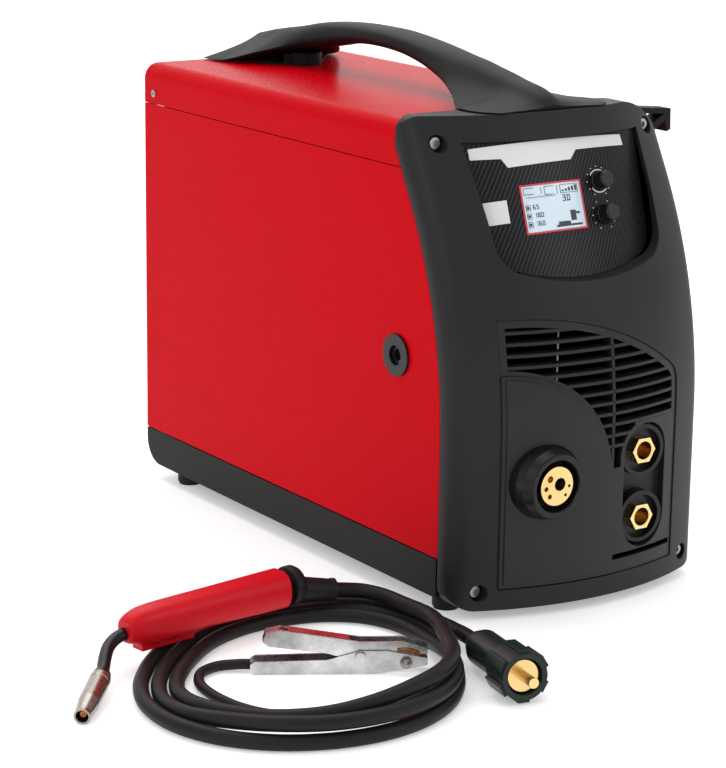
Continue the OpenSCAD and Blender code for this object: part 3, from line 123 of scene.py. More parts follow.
def finish(name, low, high, rough, metal=0.0, grain=900, height=0.02, coat=0.0, edge=0.0,
           stripe=None, glow=0.0, pull=(1, 1, 1), shine=0.5, painted_inner_shade=None, patch=14.0):
    """Two tones mixed in broad noise, with fine noise in the roughness and the height.

    patch and grain are the spots to the metre of the broad and the fine noise, and pull
    stretches the fine one. height and edge are millimetres: the grain's depth and the radius
    that softens edges in the shading. stripe is the direction, period in millimetres and
    colour of sin(2 pi distance / period). The inner shade argument is painted shade: a dark
    colour put on the inside of a bent sheet, where little light reaches, with the bends: side,
    x and z of the centre, and inner radius of each, in millimetres."""
    made = bpy.data.materials.new(name)
    made.use_nodes = True
    tree = made.node_tree
    tree.nodes.clear()
    place = add(tree, "ShaderNodeTexCoord", {}).outputs["Object"]
    drawn = add(tree, "ShaderNodeMapping", {"Vector": place, "Scale": pull}).outputs[0]
    broad = add(tree, "ShaderNodeTexNoise", {"Vector": place, "Scale": patch, "Detail": 4.0})
    fine = add(tree, "ShaderNodeTexNoise", {
        "Vector": drawn, "Scale": grain, "Detail": 3.0, "Roughness": 0.6}).outputs[0]
    colour = add(tree, "ShaderNodeMix", {0: broad.outputs[0], 6: srgb(low), 7: srgb(high)},
                 data_type="RGBA").outputs[2]
    if stripe:
        direction, period, stripe_colour = stripe
        across = add(tree, "ShaderNodeVectorMath", {0: place, 1: direction},
                     operation="DOT_PRODUCT").outputs["Value"]
        turns = add(tree, "ShaderNodeMath", {0: across, 1: 2000 * math.pi / period},
                    operation="MULTIPLY").outputs[0]
        wave = add(tree, "ShaderNodeMath", {0: turns}, operation="SINE").outputs[0]
        line = add(tree, "ShaderNodeMapRange", {"Value": wave, "From Min": 0.2, "From Max": 0.7}).outputs[0]
        colour = add(tree, "ShaderNodeMix", {0: line, 6: colour, 7: srgb(stripe_colour)},
                     data_type="RGBA").outputs[2]
    # Painted shade: a dark colour inside the bends of a folded sheet, where little light reaches.
    if painted_inner_shade:
        inner_shade_colour, bends = painted_inner_shade
        beyond_bend = []
        for side, x, z, inner in bends:
            away = add(tree, "ShaderNodeVectorMath", {0: place, 1: (x * 0.001, 0, z * 0.001)},
                       operation="SUBTRACT").outputs[0]
            turned = add(tree, "ShaderNodeVectorMath", {0: away, 1: (side, 0, 1)},
                         operation="MULTIPLY").outputs[0]
            kept = add(tree, "ShaderNodeVectorMath", {0: turned, 1: (0, 0, 0)},
                       operation="MAXIMUM").outputs[0]
            reach = add(tree, "ShaderNodeVectorMath", {0: kept}, operation="LENGTH").outputs["Value"]
            beyond_bend.append(add(tree, "ShaderNodeMath", {0: reach, 1: inner * 0.001},
                                   operation="GREATER_THAN").outputs[0])
        outside = add(tree, "ShaderNodeMath", {0: beyond_bend[0], 1: beyond_bend[1]},
                      operation="MAXIMUM").outputs[0]
        colour = add(tree, "ShaderNodeMix", {0: outside, 6: srgb(inner_shade_colour), 7: colour},
                     data_type="RGBA").outputs[2]
    worn = add(tree, "ShaderNodeMapRange", {
        "Value": fine, "From Min": 0.3, "From Max": 0.7,
        "To Min": max(rough - 0.05, 0.02), "To Max": rough + 0.06}).outputs[0]
    bump = {"Height": fine, "Strength": 0.7, "Distance": height * 0.001}
    if edge:
        bump["Normal"] = add(tree, "ShaderNodeBevel", {"Radius": edge * 0.001}).outputs[0]
    relief = add(tree, "ShaderNodeBump", bump).outputs[0]
    surface = add(tree, "ShaderNodeBsdfPrincipled", {
        "Base Color": colour, "Roughness": worn, "Metallic": metal, "Normal": relief,
        "Coat Weight": coat, "Coat Roughness": 0.1, "Specular IOR Level": shine,
        "Emission Color": colour, "Emission Strength": glow}).outputs[0]
    add(tree, "ShaderNodeOutputMaterial", {"Surface": surface})
    return made


sheet_front, bend_from, bend_r, sheet_top, half_sheet = -6000, 2200, 1200, 5000, 7000
sheet_line = [(sheet_front, 0), (bend_from, 0)]
for a in np.radians(range(10, 91, 10)):
    sheet_line.append((bend_from + bend_r * math.sin(a), bend_r - bend_r * math.cos(a)))
sheet_line.append((bend_from + bend_r, sheet_top))
backdrop = new_object("floor", [
    (d * math.sin(yaw) + s * math.cos(yaw), d * math.cos(yaw) - s * math.sin(yaw), z)
    for d, z in sheet_line for s in (-half_sheet, half_sheet)],
    [(2 * i, 2 * i + 1, 2 * i + 3, 2 * i + 2) for i in range(len(sheet_line) - 1)])
soften(backdrop, 60)
# Matt white paper: an even pale ground with soft shadows.
backdrop.data.materials.append(finish("white_paper", "#f4f4f4", "#f8f8f8", 0.9, grain=300, glow=0.36))

# ---------- torch cable and torch plug ----------
# A round rubber-sheathed cable that leaves the torch's relief, lies in three loops and a
# part, and runs into its plug: a moulded sleeve, a ribbed nut and a turned brass core.


def through_points(points, steps):
    """Catmull-Rom curve: 0.5 (2b + (c-a)t + (2a-5b+4c-d)t^2 + (3b-a-3c+d)t^3) between b and c."""
    p = np.asarray(points, float)
    p = np.vstack([2 * p[0] - p[1], p, 2 * p[-1] - p[-2]])
    t = (np.arange(steps) / steps)[:, None]
    rows = [0.5 * (2 * b + (c - a) * t + (2 * a - 5 * b + 4 * c - d) * t ** 2
                   + (3 * b - a - 3 * c + d) * t ** 3)
            for a, b, c, d in zip(p, p[1:], p[2:], p[3:])]
    return np.vstack(rows + [p[-2:-1]])


def turn_out(made):
    """Turns the faces of a closed mesh outward, by the sign of its volume."""
    volume = sum(made.data.vertices[f.vertices[0]].co.dot(f.normal) * f.area for f in made.data.polygons)
    if volume < 0:
        made.data.flip_normals()
    return made


def loft(name, rings, material, smooth_angle=50):
    """Closed surface through a stack of rings of equal count, capped at both ends."""
    m, n = rings.shape[:2]
    k = np.arange(n)
    after = (k + 1) % n
    faces = [(i * n + a, i * n + b, (i + 1) * n + b, (i + 1) * n + a)
             for i in range(m - 1) for a, b in zip(k, after)]
    faces += [tuple(k[::-1]), tuple((m - 1) * n + k)]
    made = turn_out(new_object(name, rings.reshape(-1, 3), faces))
    soften(made, smooth_angle)
    made.data.materials.append(material)
    return made


def tube(name, points, radii, sides, material, smooth_angle=50):
    """Closed tube: ring i is point i + r_i (cos a * side + sin a * up), with the side vector kept level."""
    p = np.asarray(points, float)
    radii = np.broadcast_to(radii, len(p))
    ahead = np.gradient(p, axis=0)
    ahead /= np.linalg.norm(ahead, axis=1)[:, None]
    side = np.cross(ahead, (0, 0, 1))
    side /= np.linalg.norm(side, axis=1)[:, None]
    up = np.cross(side, ahead)
    a = np.arange(sides) * 2 * math.pi / sides
    rings = p[:, None] + radii[:, None, None] * (
        np.cos(a)[None, :, None] * side[:, None] + np.sin(a)[None, :, None] * up[:, None])
    return loft(name, rings, material, smooth_angle)


def unit(way):
    """The same direction with a length of one."""
    return way / np.linalg.norm(way)


def lookup(angle, table):
    """Value of a table at an angle, by straight lines between its rows."""
    rows = sorted(table)
    return np.interp(angle, [r[0] for r in rows], [r[1] for r in rows])


def join(made, slot, *replaced):
    """Fixes a piece to the machine's body and hides the CAD nodes it stands for. The slot is not used."""
    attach(made, "machine")
    if replaced:
        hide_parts(*replaced)


def dress(material, *names):
    """Gives every slot of the named CAD nodes one material."""
    for name in names:
        for place in nodes[name].material_slots:
            place.material = material


# Dull extruded rubber: soft, wide highlights and a little dust.
rubber = finish("cable_rubber", "#121112", "#191718", 0.5, grain=1500, height=0.03, shine=0.2)
# Dark green-black moulding with a satin face.
plug_skin = finish("dark_plug_moulding", "#0d1a17", "#142521", 0.38, grain=1400, height=0.02,
                   edge=0.8, shine=0.3)
# Turned brass: bright yellow metal that mirrors its surroundings softly.
brass = finish("turned_brass", "#d2a662", "#f3d9a0", 0.24, metal=1.0, grain=500, height=0.01, edge=0.3)
dress(plug_skin, "plug_body", "plug_nut")
dress(brass, "plug_core")

cable_r = 5.2
# How far each turn lies outside the oval, and how high its centre is, by angle in degrees.
pile_shift = [
    [60, -4], [46, -3], [33, -4], [19, -2.5], [2, -2], [-10, -5], [-20, -6], [-35, -8], [-55, -3],
    [-68, -2], [-76, -4.5], [-90, -9.8], [-105, -12.5], [-125, -13.5], [-141, -19.5], [-155, -22.5],
    [-165, -24], [-178, -24.5], [-190, -24.5], [-213, -24], [-262, -24], [-301, -18], [-317, -12.5],
    [-358, -12.5], [-370, -11], [-380, -10], [-395, -5], [-417, 0], [-455, 0], [-480, -1],
    [-495, -5.5], [-510, -10.2], [-522, -12.2], [-535, -12.2], [-622, -12.2], [-661, -6], [-677, 0],
    [-982, 0], [-1021, 6], [-1037, 12.5], [-1100, 12.5]]
pile_height = [
    [60, 20], [45, 18], [28, 17.3], [2, 17.3], [-10, 20], [-20, 23.2], [-35, 28.3], [-50, 28.9],
    [-68, 28.9], [-76, 28], [-90, 25], [-105, 20], [-125, 16.2], [-141, 14], [-155, 12],
    [-165, 9.5], [-178, 7], [-190, 5.5], [-358, 5.5], [-370, 8.5], [-380, 12], [-395, 16.5],
    [-410, 17.2], [-455, 17.2], [-480, 17], [-495, 16], [-510, 12.2], [-522, 7.5], [-535, 5.5],
    [-1062, 5.5], [-1078, 7]]
coil_x, coil_y, ease = -247, -228, 8
coil = []
for angle in range(20, -1076, -15):
    a = math.radians(angle)
    oval = (112.8 - 6.3 * math.cos(a) - 9.7 * math.sin(a) + 12.4 * math.sin(2 * a)
            + 0.6 * math.sin(3 * a) + 0.5 * math.cos(4 * a) + 1.8 * math.sin(4 * a))
    outward, height = ((lookup(angle - ease, t) + 2 * lookup(angle, t) + lookup(angle + ease, t)) / 4
                       for t in (pile_shift, pile_height))
    coil.append((coil_x + (oval + outward) * math.cos(a), coil_y + (oval + outward) * math.sin(a), height))
relief_from, relief_to = np.array((-208, -142.9, 26.0)), np.array((-172.5, -148.5, 20.5))
relief_way = unit(relief_to - relief_from)
plug_rear, plug_front = np.array((-140, -271.5, 14.0)), np.array((-160, -353.5, 19.0))
plug_way = unit(plug_front - plug_rear)
cable_route = through_points(
    [relief_to, relief_to + 2 * cable_r * relief_way,
     (-152.6, -155.3, 18.1), (-146.8, -164.3, 17.6), (-143.6, -175.5, 17.3)]
    + coil
    + [(-128.5, -233, 8.3), (-133.3, -248.5, 11.3), plug_rear - 2 * cable_r * plug_way, plug_rear], 5)
torch_cable = tube("torch_cable_sheath", cable_route, cable_r, 24, rubber)
join(torch_cable, "cable_rubber", "torch_cable")

# ---------- earth cable and earth plug ----------
# A thinner rubber-sheathed cable that runs from the clamp's tail along the floor, round the
# outside of the loops, to its own moulded plug.

earth_route = through_points([
    (-276, -208, 5), (-283, -203.9, 5), (-295, -198.2, 4.2), (-308, -201.5, 4), (-316, -210, 4),
    (-321.5, -222, 4), (-323.5, -237, 4), (-323, -252, 4), (-320, -268, 4), (-313, -284, 4),
    (-300, -299.5, 4), (-281, -311.5, 4), (-262, -317.5, 4.3), (-248, -318.6, 5.5),
    (-239.6, -316.6, 6.8), (-232, -314, 6.8)], 5)
earth_cable = tube("earth_cable_sheath", earth_route, 3.5, 20, rubber)
join(earth_cable, "cable_rubber", "earth_cable")
dress(rubber, "earth_plug")

# ---------- torch ----------
# A red moulded grip with a waisted nose and a slot for its trigger. A bent black tube carries
# the plated nozzle, and a collar and a tapered rubber sleeve hold the cable at the rear.


def blocks(name, pairs, matrix=None):
    """Separate boxes, each between a lowest and a highest corner, placed by a matrix in millimetres."""
    corners = np.array([(x, y, z) for low, high in pairs for x in (low[0], high[0])
                        for y in (low[1], high[1]) for z in (low[2], high[2])], float)
    if matrix is not None:
        corners = corners @ matrix[:3, :3].T + matrix[:3, 3]
    sides = [(0, 1, 3, 2), (4, 6, 7, 5), (0, 4, 5, 1), (2, 3, 7, 6), (0, 2, 6, 4), (1, 5, 7, 3)]
    faces = [[8 * k + i for i in side] for k in range(len(pairs)) for side in sides]
    return new_object(name, corners, faces)


def carve(target, tool, operation="DIFFERENCE"):
    """Applies one exact boolean to the target and takes the tool away."""
    cut = target.modifiers.new("cut", "BOOLEAN")
    cut.operation = operation
    cut.solver = "EXACT"
    cut.object = tool
    bpy.context.view_layer.update()
    shaped = bpy.data.meshes.new_from_object(target.evaluated_get(bpy.context.evaluated_depsgraph_get()))
    target.modifiers.clear()
    target.data = shaped
    bpy.data.objects.remove(tool)
    return target


def seal(made, name, material, slot, *replaced, smooth_angle=30):
    """Gives a carved piece its name, shading and material, and fixes it to the machine's body."""
    made.name = name
    soften(made, smooth_angle)
    made.data.materials.clear()
    made.data.materials.append(material)
    join(made, slot, *replaced)


def squared_round(count, power):
    """Angles round a section, with sign(cos a) |cos a|^power across it and |sin a|^power up or down."""
    a = np.arange(count) * 2 * math.pi / count
    return a, np.sign(np.cos(a)) * np.abs(np.cos(a)) ** power, np.abs(np.sin(a)) ** power


# Red moulded plastic with a fine grain: a bright, even red with soft highlights.
torch_red = finish("red_torch_moulding", "#bf0a18", "#cc1020", 0.36, grain=1600, height=0.03,
                   edge=0.6, shine=0.16)
# Black gloss moulding: nearly black, with clear highlights on its rounded edges.
gloss = finish("black_gloss_moulding", "#0e0e10", "#141416", 0.3, grain=1200, height=0.01,
               edge=0.6, shine=0.26)
# Nickel plate: a warm grey metal that mirrors softly.
nickel = finish("nickel_plate", "#8d8880", "#a39d93", 0.3, metal=1.0, grain=500, height=0.01, edge=0.3)
# Copper wire and drawn copper: orange metal with dark lines between the turns.
copper = finish("wound_copper_wire", "#a8623a", "#c4804f", 0.3, metal=1.0,
                stripe=((1, 0, 0), 0.9, "#6d3a20"))
dress(torch_red, "torch_trigger")
dress(nickel, "gas_nozzle")
dress(copper, "contact_tip")

torch_front, torch_rear = np.array((-345, -163, 28.0)), np.array((-209, -144, 28.0))
torch_way = unit(torch_rear - torch_front)
torch_side = np.array((-torch_way[1], torch_way[0], 0))
on_torch = np.eye(4)
on_torch[:3, 0], on_torch[:3, 1], on_torch[:3, 3] = torch_way, torch_side, torch_front
# Distance from the nose, half width, underside and back over the axis.
grip_run = np.array([
    (0, 6.5, -8.4, 6), (1.5, 8, -9.4, 7.6), (5, 9, -10.6, 9.8), (12, 10.5, -12.2, 12),
    (20, 11.2, -13.8, 12.8), (28, 11.6, -14.2, 13.1), (44, 12, -13.9, 13.2), (56, 12.1, -13.2, 13.2),
    (64, 12.2, -12, 13.2), (90, 12.8, -12.6, 13.3), (114, 13.3, -13.2, 13.4), (132, 13.5, -13.5, 13.5)])
grip_line = through_points(grip_run[:, :3], 6)
grip_back = through_points(grip_run[:, [0, 1, 3]], 6)[:, 2]
a, across, lift = squared_round(56, 0.78)
parting = 1 - 0.035 * np.exp(-(np.cos(a) / 0.09) ** 2)
grip_rings = np.array([
    torch_front + d * torch_way + np.outer(across * half * parting, torch_side)
    + np.outer(np.where(np.sin(a) >= 0, back, low) * lift * parting, (0, 0, 1))
    for (d, half, low), back in zip(grip_line, grip_back)])
grip = loft("torch_grip", grip_rings, torch_red, 40)
trigger_slot = ((10, -5.8, -20), (57, 5.8, -4.7))
carve(grip, blocks("slot", [trigger_slot], on_torch))
seal(grip, "torch_grip", torch_red, "red_plastic", "torch_handle", smooth_angle=35)

# The tube is 8.8 mm across and ends in a 12 mm seat for the nozzle.
neck = tube("torch_neck_tube", through_points([
    (-336.1, -161.8, 25), (-341.5, -162.5, 25), (-347, -163.3, 24.9), (-354, -166, 23.6), (-361, -171, 21.3),
    (-367, -178, 18), (-372, -185, 14.8), (-375.4, -190, 13), (-380, -196, 12)], 5),
    [4.4] * 36 + [5.2, 6, 6, 6, 6], 24, gloss)
join(neck, "black_rubber", "torch_neck")

collar = tube("torch_collar", [torch_rear + off * torch_way for off in (0.7, 0.701, 1.602, 6.603, 9.204)],
              [9, 13.2, 13.8, 13.8, 12.4], 48, rubber)
join(collar, "black_rubber")

# The sleeve tapers, with a shallow groove near the grip and a plain lip at the cable.
sleeve_t = np.linspace(0, 1, 90)
sleeve_r = 9.2 - 1.7 * sleeve_t - 0.5 * np.exp(-((sleeve_t - 0.1) / 0.02) ** 2)
sleeve_r = np.where(sleeve_t > 0.93, 8.2, sleeve_r)
sleeve_l = np.linalg.norm(relief_to - relief_from)
sleeve = tube("torch_sleeve", relief_from + np.outer(sleeve_t * sleeve_l, relief_way), sleeve_r,
              40, rubber, 40)
join(sleeve, "black_rubber", "torch_relief")

# ---------- earth clamp ----------
# Two stamped arms on a pin, held shut by a torsion spring of round wire. A washer, a hexagon
# nut and a domed bolt on the jaw's side hold the cable's lug, with bare strands over the edge.

# Zinc-plated stamped steel, brushed along its length in its roughness and relief, with painted reflections:
# broad light and dark patches in its colour.
zinc_with_painted_reflections = finish("plated_steel_painted_reflections", "#2c2d2f", "#ffffff", 0.27, metal=1.0, grain=500, height=0.02,
              edge=0.5, pull=(0.3, 1, 1), patch=48.0)
# Plain machined or drawn steel: an even grey metal.
steel = finish("plain_steel", "#8b8f93", "#a5a9ad", 0.32, metal=1.0, grain=500, edge=0.3)
dress(zinc_with_painted_reflections, "clamp_lower", "clamp_upper", "clamp_pin")

clamp_tail, clamp_jaw = np.array((-276, -208, 0.0)), np.array((-171, -270, 0.0))
clamp_way = unit(clamp_jaw - clamp_tail)
clamp_side = np.array((-clamp_way[1], clamp_way[0], 0))
pin_at, spring_r, wire_r, spring_turns = 72, 3.4, 0.6, 4
turn = np.linspace(0, spring_turns, 129)
spring_line = (clamp_tail + pin_at * clamp_way + np.array((0, 0, 12))
               + np.outer(spring_r * np.cos(2 * math.pi * turn), clamp_way)
               + np.outer(3 - 1.5 * turn, clamp_side)
               + np.outer(spring_r * np.sin(2 * math.pi * turn), (0, 0, 1)))
spring = tube("clamp_spring_wire", spring_line, wire_r, 12, steel)
join(spring, "steel", "clamp_spring")

# Name, sides, distances out from the clamp's middle and the radius at each.
bolt_at = clamp_tail + 102 * clamp_way + np.array((0, 0, 8.0))
for name, sides, steps, radii in (
        ("clamp_washer", 32, (6.95, 6.96, 7.6, 7.61), (0.2, 4.3, 4.3, 0.2)),
        ("clamp_nut", 6, (7.8, 7.81, 10, 10.3), (0.2, 3.4, 3.4, 2.9)),
        ("clamp_bolt", 24, (10.2, 10.5, 11.2, 11.7, 11.9), (2.2, 2.2, 1.9, 1.1, 0.2))):
    join(tube(name, [bolt_at - off * clamp_side for off in steps], radii, sides, nickel, 30), "zinc_steel")
for k in range(5):
    t = np.linspace(0, 1, 25)
    strand_line = (clamp_tail + np.outer(96 + 15 * t, clamp_way)
                   - np.outer(6.35 + 0.12 * k + 0 * t, clamp_side)
                   + np.outer(15.1 + 0.45 * k - 2.6 * t ** 2 + 0.5 * np.sin(5 * t + 1.3 * k), (0, 0, 1)))
    join(tube("copper_strand_%d" % (k + 1), strand_line, 0.35, 8, copper), "copper_wire")

# ---------- case: tray, cover, door, rear panel and feet ----------
# Folded steel sheet. The cover and the door are coated red and have a wide bend on the right
# shoulder and a tight one on the left, and the tray and the rear panel are coated dark.

half_w, top_z, wide_bend, tight_bend, sheet = 110, 340, 42, 12, 0.8
# Red powder coat with a slight orange peel, and painted shade: dark on the inside of the sheet, where little
# light reaches.
red_coat_and_inner_shade = finish("red_powder_coat_and_inner_shade", "#b8000e", "#be0012", 0.28, grain=420, height=0.001, edge=0.5,
                  shine=0.02, painted_inner_shade=("#1b1a1b", [
                      (1, half_w - wide_bend, top_z - wide_bend, wide_bend - sheet),
                      (-1, tight_bend - half_w, top_z - tight_bend, tight_bend - sheet)]))
# Dark powder coat: a rougher grain that hardly shines.
dark_coat = finish("dark_powder_coat", "#151614", "#1b1b1a", 0.5, grain=700, height=0.04,
                   edge=0.6, shine=0.12)
dress(red_coat_and_inner_shade, "top_cover", "side_door")
dress(dark_coat, "base_tray", "rear_panel")
dress(rubber, "rubber_feet")
dress(steel, "hinge_pins", "partition")
dress(gloss, "latch_bezel", "door_latch")


def prism_faces(n):
    """Faces of a prism whose points are an outline of n points and the same outline again."""
    sides = [(i, (i + 1) % n, n + (i + 1) % n, n + i) for i in range(n)]
    return sides + [tuple(range(n))[::-1], tuple(range(n, 2 * n))]


# Every slot in the right side keeps the narrow flap that was pressed out of it. It leans
# inward and back from the slot's front edge, so nothing shows straight through.
slot_count, slot_pitch, slot_first, slot_rows, slot_h = 14, 14, -100, (88.5, 158.5), 48
flap_plan = ((108.7, -0.9), (108.7, 0.1), (103.9, 5.9), (103.4, 5.2))
flap_points = [(x, slot_first + slot_pitch * k + v, z)
               for bottom in slot_rows for k in range(slot_count)
               for z in (bottom, bottom + slot_h) for x, v in flap_plan]
flap_faces = [[8 * k + i for i in face]
              for k in range(slot_count * len(slot_rows)) for face in prism_faces(len(flap_plan))]
flaps = turn_out(new_object("vent_flaps", flap_points, flap_faces))
# The flaps lie inside the sheet, so the red coat's painted inner shade makes them dark.
flaps.data.materials.append(red_coat_and_inner_shade)
join(flaps, "red_paint")

# ---------- carrying handle and torch hook ----------
# A black moulded bar with a crowned top that spreads into broad feet on the cover, with a
# pedestal under its rear foot. The hook is moulded too and sits on the right shoulder.

# A grained black moulding, a little darker and rougher than the frame's.
handle_skin = finish("darker_black_moulding", "#131213", "#181718", 0.5, grain=1800, height=0.03,
                     edge=1.2, shine=0.12)
dress(handle_skin, "torch_hook", "handle_pad")

# Y, half width at the foot, at the crown, heights of underside, widest line and crown.
handle_run = np.array([
    (227, 57, 10, 340.6, 341.2, 359), (215, 56, 12, 340.6, 341.4, 361.5), (203, 54, 14, 340.8, 342, 364),
    (190, 50, 15, 342, 345, 366.2), (177, 42, 16, 346, 349.5, 368.4), (165, 32, 16, 350.5, 353.5, 370.2),
    (152, 23, 16, 353.5, 358, 372.5), (138, 18, 16, 355.5, 363, 375.2), (122, 16.4, 16, 358, 367, 377.6),
    (105, 16, 16, 361, 370, 379.3), (88, 16, 16, 364, 372.4, 380.4), (70, 16, 16, 366, 373.6, 381),
    (50, 16, 16, 366.6, 374, 381), (30, 16, 16, 366, 373.5, 380.6), (10, 16, 16, 364.2, 372, 379),
    (-8, 16.4, 16, 361, 369.4, 377.2), (-24, 17.4, 16, 357.4, 366, 375.4), (-40, 19.5, 16, 353.6, 361.5, 373.4),
    (-56, 23, 16, 350, 356.5, 371.2), (-72, 28.5, 16, 346.4, 351.5, 369.3), (-88, 36, 16, 343.5, 347.5, 366.4),
    (-103, 45, 16, 341, 344.5, 363.8), (-116, 53, 15, 340.8, 343.2, 361.2), (-126, 58, 14, 344.3, 345, 359.6),
    (-138, 58, 13, 344.3, 345, 357.4), (-150, 54, 11, 344.3, 345, 353), (-158, 46, 8, 344.3, 344.8, 347.5)])
handle_line = np.hstack([through_points(handle_run[:, :3], 5), through_points(handle_run[:, 3:], 5)])
a, across, lift = squared_round(72, 0.72)
handle_rings = []
for y, foot, crown, under, widest, top in handle_line:
    flare = np.interp(y, (-100, -50), (3.0, 1.7))
    half = np.where(np.sin(a) >= 0, crown + (foot - crown) * (1 - lift) ** flare, foot)
    height = np.where(np.sin(a) >= 0, widest + (top - widest) * lift, widest - (widest - under) * lift)
    handle_rings.append(np.stack([across * half, np.full(len(a), y), height], axis=1))
handle = loft("carrying_handle", np.array(handle_rings), handle_skin, 50)
join(handle, "black_plastic", "handle_grip")

# ---------- front frame ----------
# One bowed black moulding that leans back, with the control window and an arched opening cut
# through it, and a cup in each corner for the screw that holds it to the case.

# Distances d are from the lean's axis. The front is bow_r about bow_d, with corner_r ends.
lean_y, lean_z, lean_end = 150.1, 127, 28.5
bow_d, bow_r, corner_d, corner_x, corner_r = 148.6, 229, 337.86, 91, 19
frame_back, seam_y = 150, -124.5
# Grained black moulding: a soft dark grey with a broad sheen.
moulding = finish("grained_black_moulding", "#1c1b1c", "#222022", 0.46, grain=2200, height=0.03,
                  edge=1.4, shine=0.2)


def arc(x, z, r, start, end, steps):
    """Points on a circle from one angle to another, in degrees."""
    return [(x + r * math.cos(t), z + r * math.sin(t)) for t in np.radians(np.linspace(start, end, steps))]


def prism(name, outline, low, high, along="y"):
    """Outline pulled from low to high: x against z along y, y against z along x, x against y along z."""
    order = {"x": lambda u, v, w: (w, u, v), "y": lambda u, v, w: (u, w, v), "z": lambda u, v, w: (u, v, w)}
    points = [order[along](u, v, w) for w in (low, high) for u, v in outline]
    return turn_out(new_object(name, points, prism_faces(len(outline))))


def disc(x, z, r, low, high, sides=40):
    """Round bar along y."""
    return prism("disc", arc(x, z, r, 0, 360 - 360 / sides, sides), low, high)


def mass(inset):
    """Plan outline at that inset, swept from t = 0 to lean_end: y = lean_y - d cos t, z = lean_z + d sin t."""
    bow = math.degrees(math.asin(corner_x / (bow_r - corner_r)))
    plan = [(frame_back, inset - half_w)]
    plan += [(d, -x) for d, x in arc(corner_d, corner_x, corner_r - inset, 90, bow, 9)]
    plan += arc(bow_d, 0, bow_r - inset, -bow, bow, 61)[1:-1]
    plan += arc(corner_d, corner_x, corner_r - inset, bow, 90, 9)
    plan += [(frame_back, half_w - inset)]
    d, x = np.array(plan).T
    rings = [np.stack([x, lean_y - d, np.full(len(d), -40.0)], axis=1)]
    for t in np.radians(np.linspace(0, lean_end, 27)):
        rings.append(np.stack([x, lean_y - d * math.cos(t), lean_z + d * math.sin(t)], axis=1))
    rings.append(rings[-1] + np.array((0, math.sin(t), math.cos(t))) * 300)
    return loft("mass", np.array(rings), moulding)


def case_outline(inset, bottom, top, low):
    """Front outline of the case with its four edge radii."""
    return (arc(low - half_w, bottom + low, low - inset, 180, 270, 10)
            + arc(half_w - low, bottom + low, low - inset, 270, 360, 10)
            + arc(half_w - wide_bend, top - wide_bend, wide_bend - inset, 0, 90, 16)
            + arc(tight_bend - half_w, top - tight_bend, tight_bend - inset, 90, 180, 10))


def window_outline(grow):
    """Window with slanting sides, round lower corners and a bellied sill."""
    sill_r, corner, x, z, top, half_top = 214, 22, 50, 262, 326.5, 77
    rise = math.sqrt((sill_r - corner) ** 2 - x ** 2)
    turn_at = math.degrees(math.atan2(-rise, x))
    return ([(-half_top - grow, top + grow), (-x - corner - grow, z)]
            + arc(-x, z, corner + grow, 180, 180 - turn_at, 10)[1:]
            + arc(0, z + rise, sill_r + grow, -180 - turn_at, turn_at, 24)[1:-1]
            + arc(x, z, corner + grow, turn_at, 0, 10) + [(half_top + grow, top + grow)])


def insert_outline(grow):
    """Opening with an arched top and a round upper right corner."""
    left, right, bottom, corner, arch_x, arch_z, arch_r = -79, 75.8, 22, 16, -66, -13.5, 225
    run = right - corner - arch_x
    corner_z = arch_z + math.sqrt((arch_r - corner) ** 2 - run ** 2)
    turn_at = math.degrees(math.atan2(corner_z - arch_z, run))
    left_at = math.degrees(math.acos((left - arch_x - grow) / (arch_r + grow)))
    return ([(left - grow, bottom - grow), (right + grow, bottom - grow)]
            + arc(right - corner, corner_z, corner + grow, 0, turn_at, 10)
            + arc(arch_x, arch_z, arch_r + grow, turn_at, left_at, 24)[1:])


lean_back = math.radians(19.2)
# Millimetres on the control panel, with y into the machine, to millimetres of the frame.
on_panel = np.array([
    (1, 0, 0, 0),
    (0, math.cos(lean_back), math.sin(lean_back), -183.5),
    (0, -math.sin(lean_back), math.cos(lean_back), 280),
    (0, 0, 0, 1)])
shell = carve(mass(0), prism("outer", case_outline(-0.5, 8, 343.5, 16), -260, seam_y), "INTERSECT")
hollow = carve(mass(3.5), prism("inner", case_outline(3, 7.5, 343.5, 16), -260, 90), "INTERSECT")
tunnel = carve(prism("tunnel", window_outline(3), -260, seam_y),
               blocks("before", [((-150, -60, -150), (150, 6, 150))], on_panel), "INTERSECT")
carve(hollow, tunnel)
carve(shell, hollow)
# X, z and seat of each screw. A cup round it joins the shell and is bored for the head.
frame_screws = [(-91.4, 325.9, -143), (91.4, 325.9, -143), (-91.2, 20.4, -201), (91.2, 20.4, -201)]
cup_r, bore_r, cup_depth = 9, 6, 12
for x, z, seat in frame_screws:
    cup = carve(disc(x, z, cup_r, -235, seat + cup_depth), mass(2), "INTERSECT")
    carve(cup, prism("outer", case_outline(-0.5, 8, 343.5, 16), -260, -60), "INTERSECT")
    carve(shell, cup, "UNION")
    carve(shell, disc(x, z, bore_r, -260, seat))
seam = ([(-184.9, -1)] + arc(lean_y, lean_z, 335, 180, 151.5, 24)
        + [(seam_y, 323.3), (seam_y, 372), (227.5, 372), (227.5, -1)])
carve(shell, prism("seam", seam, -112, 112, "x"))
carve(shell, prism("window", window_outline(0), -260, -60))
carve(shell, prism("opening", insert_outline(0), -260, -60))
for x in (-92, 92):
    carve(shell, prism("foot", arc(x, -170.9, 11, 0, 350, 36), 0, 14, "z"))
seal(shell, "front_moulding", moulding, "black_plastic", "front_frame")

# ---------- case screws ----------
# Four socket heads sunk in the frame's cups and two low heads on the case's sides, each a
# turned steel profile of distance out from its seat against radius.

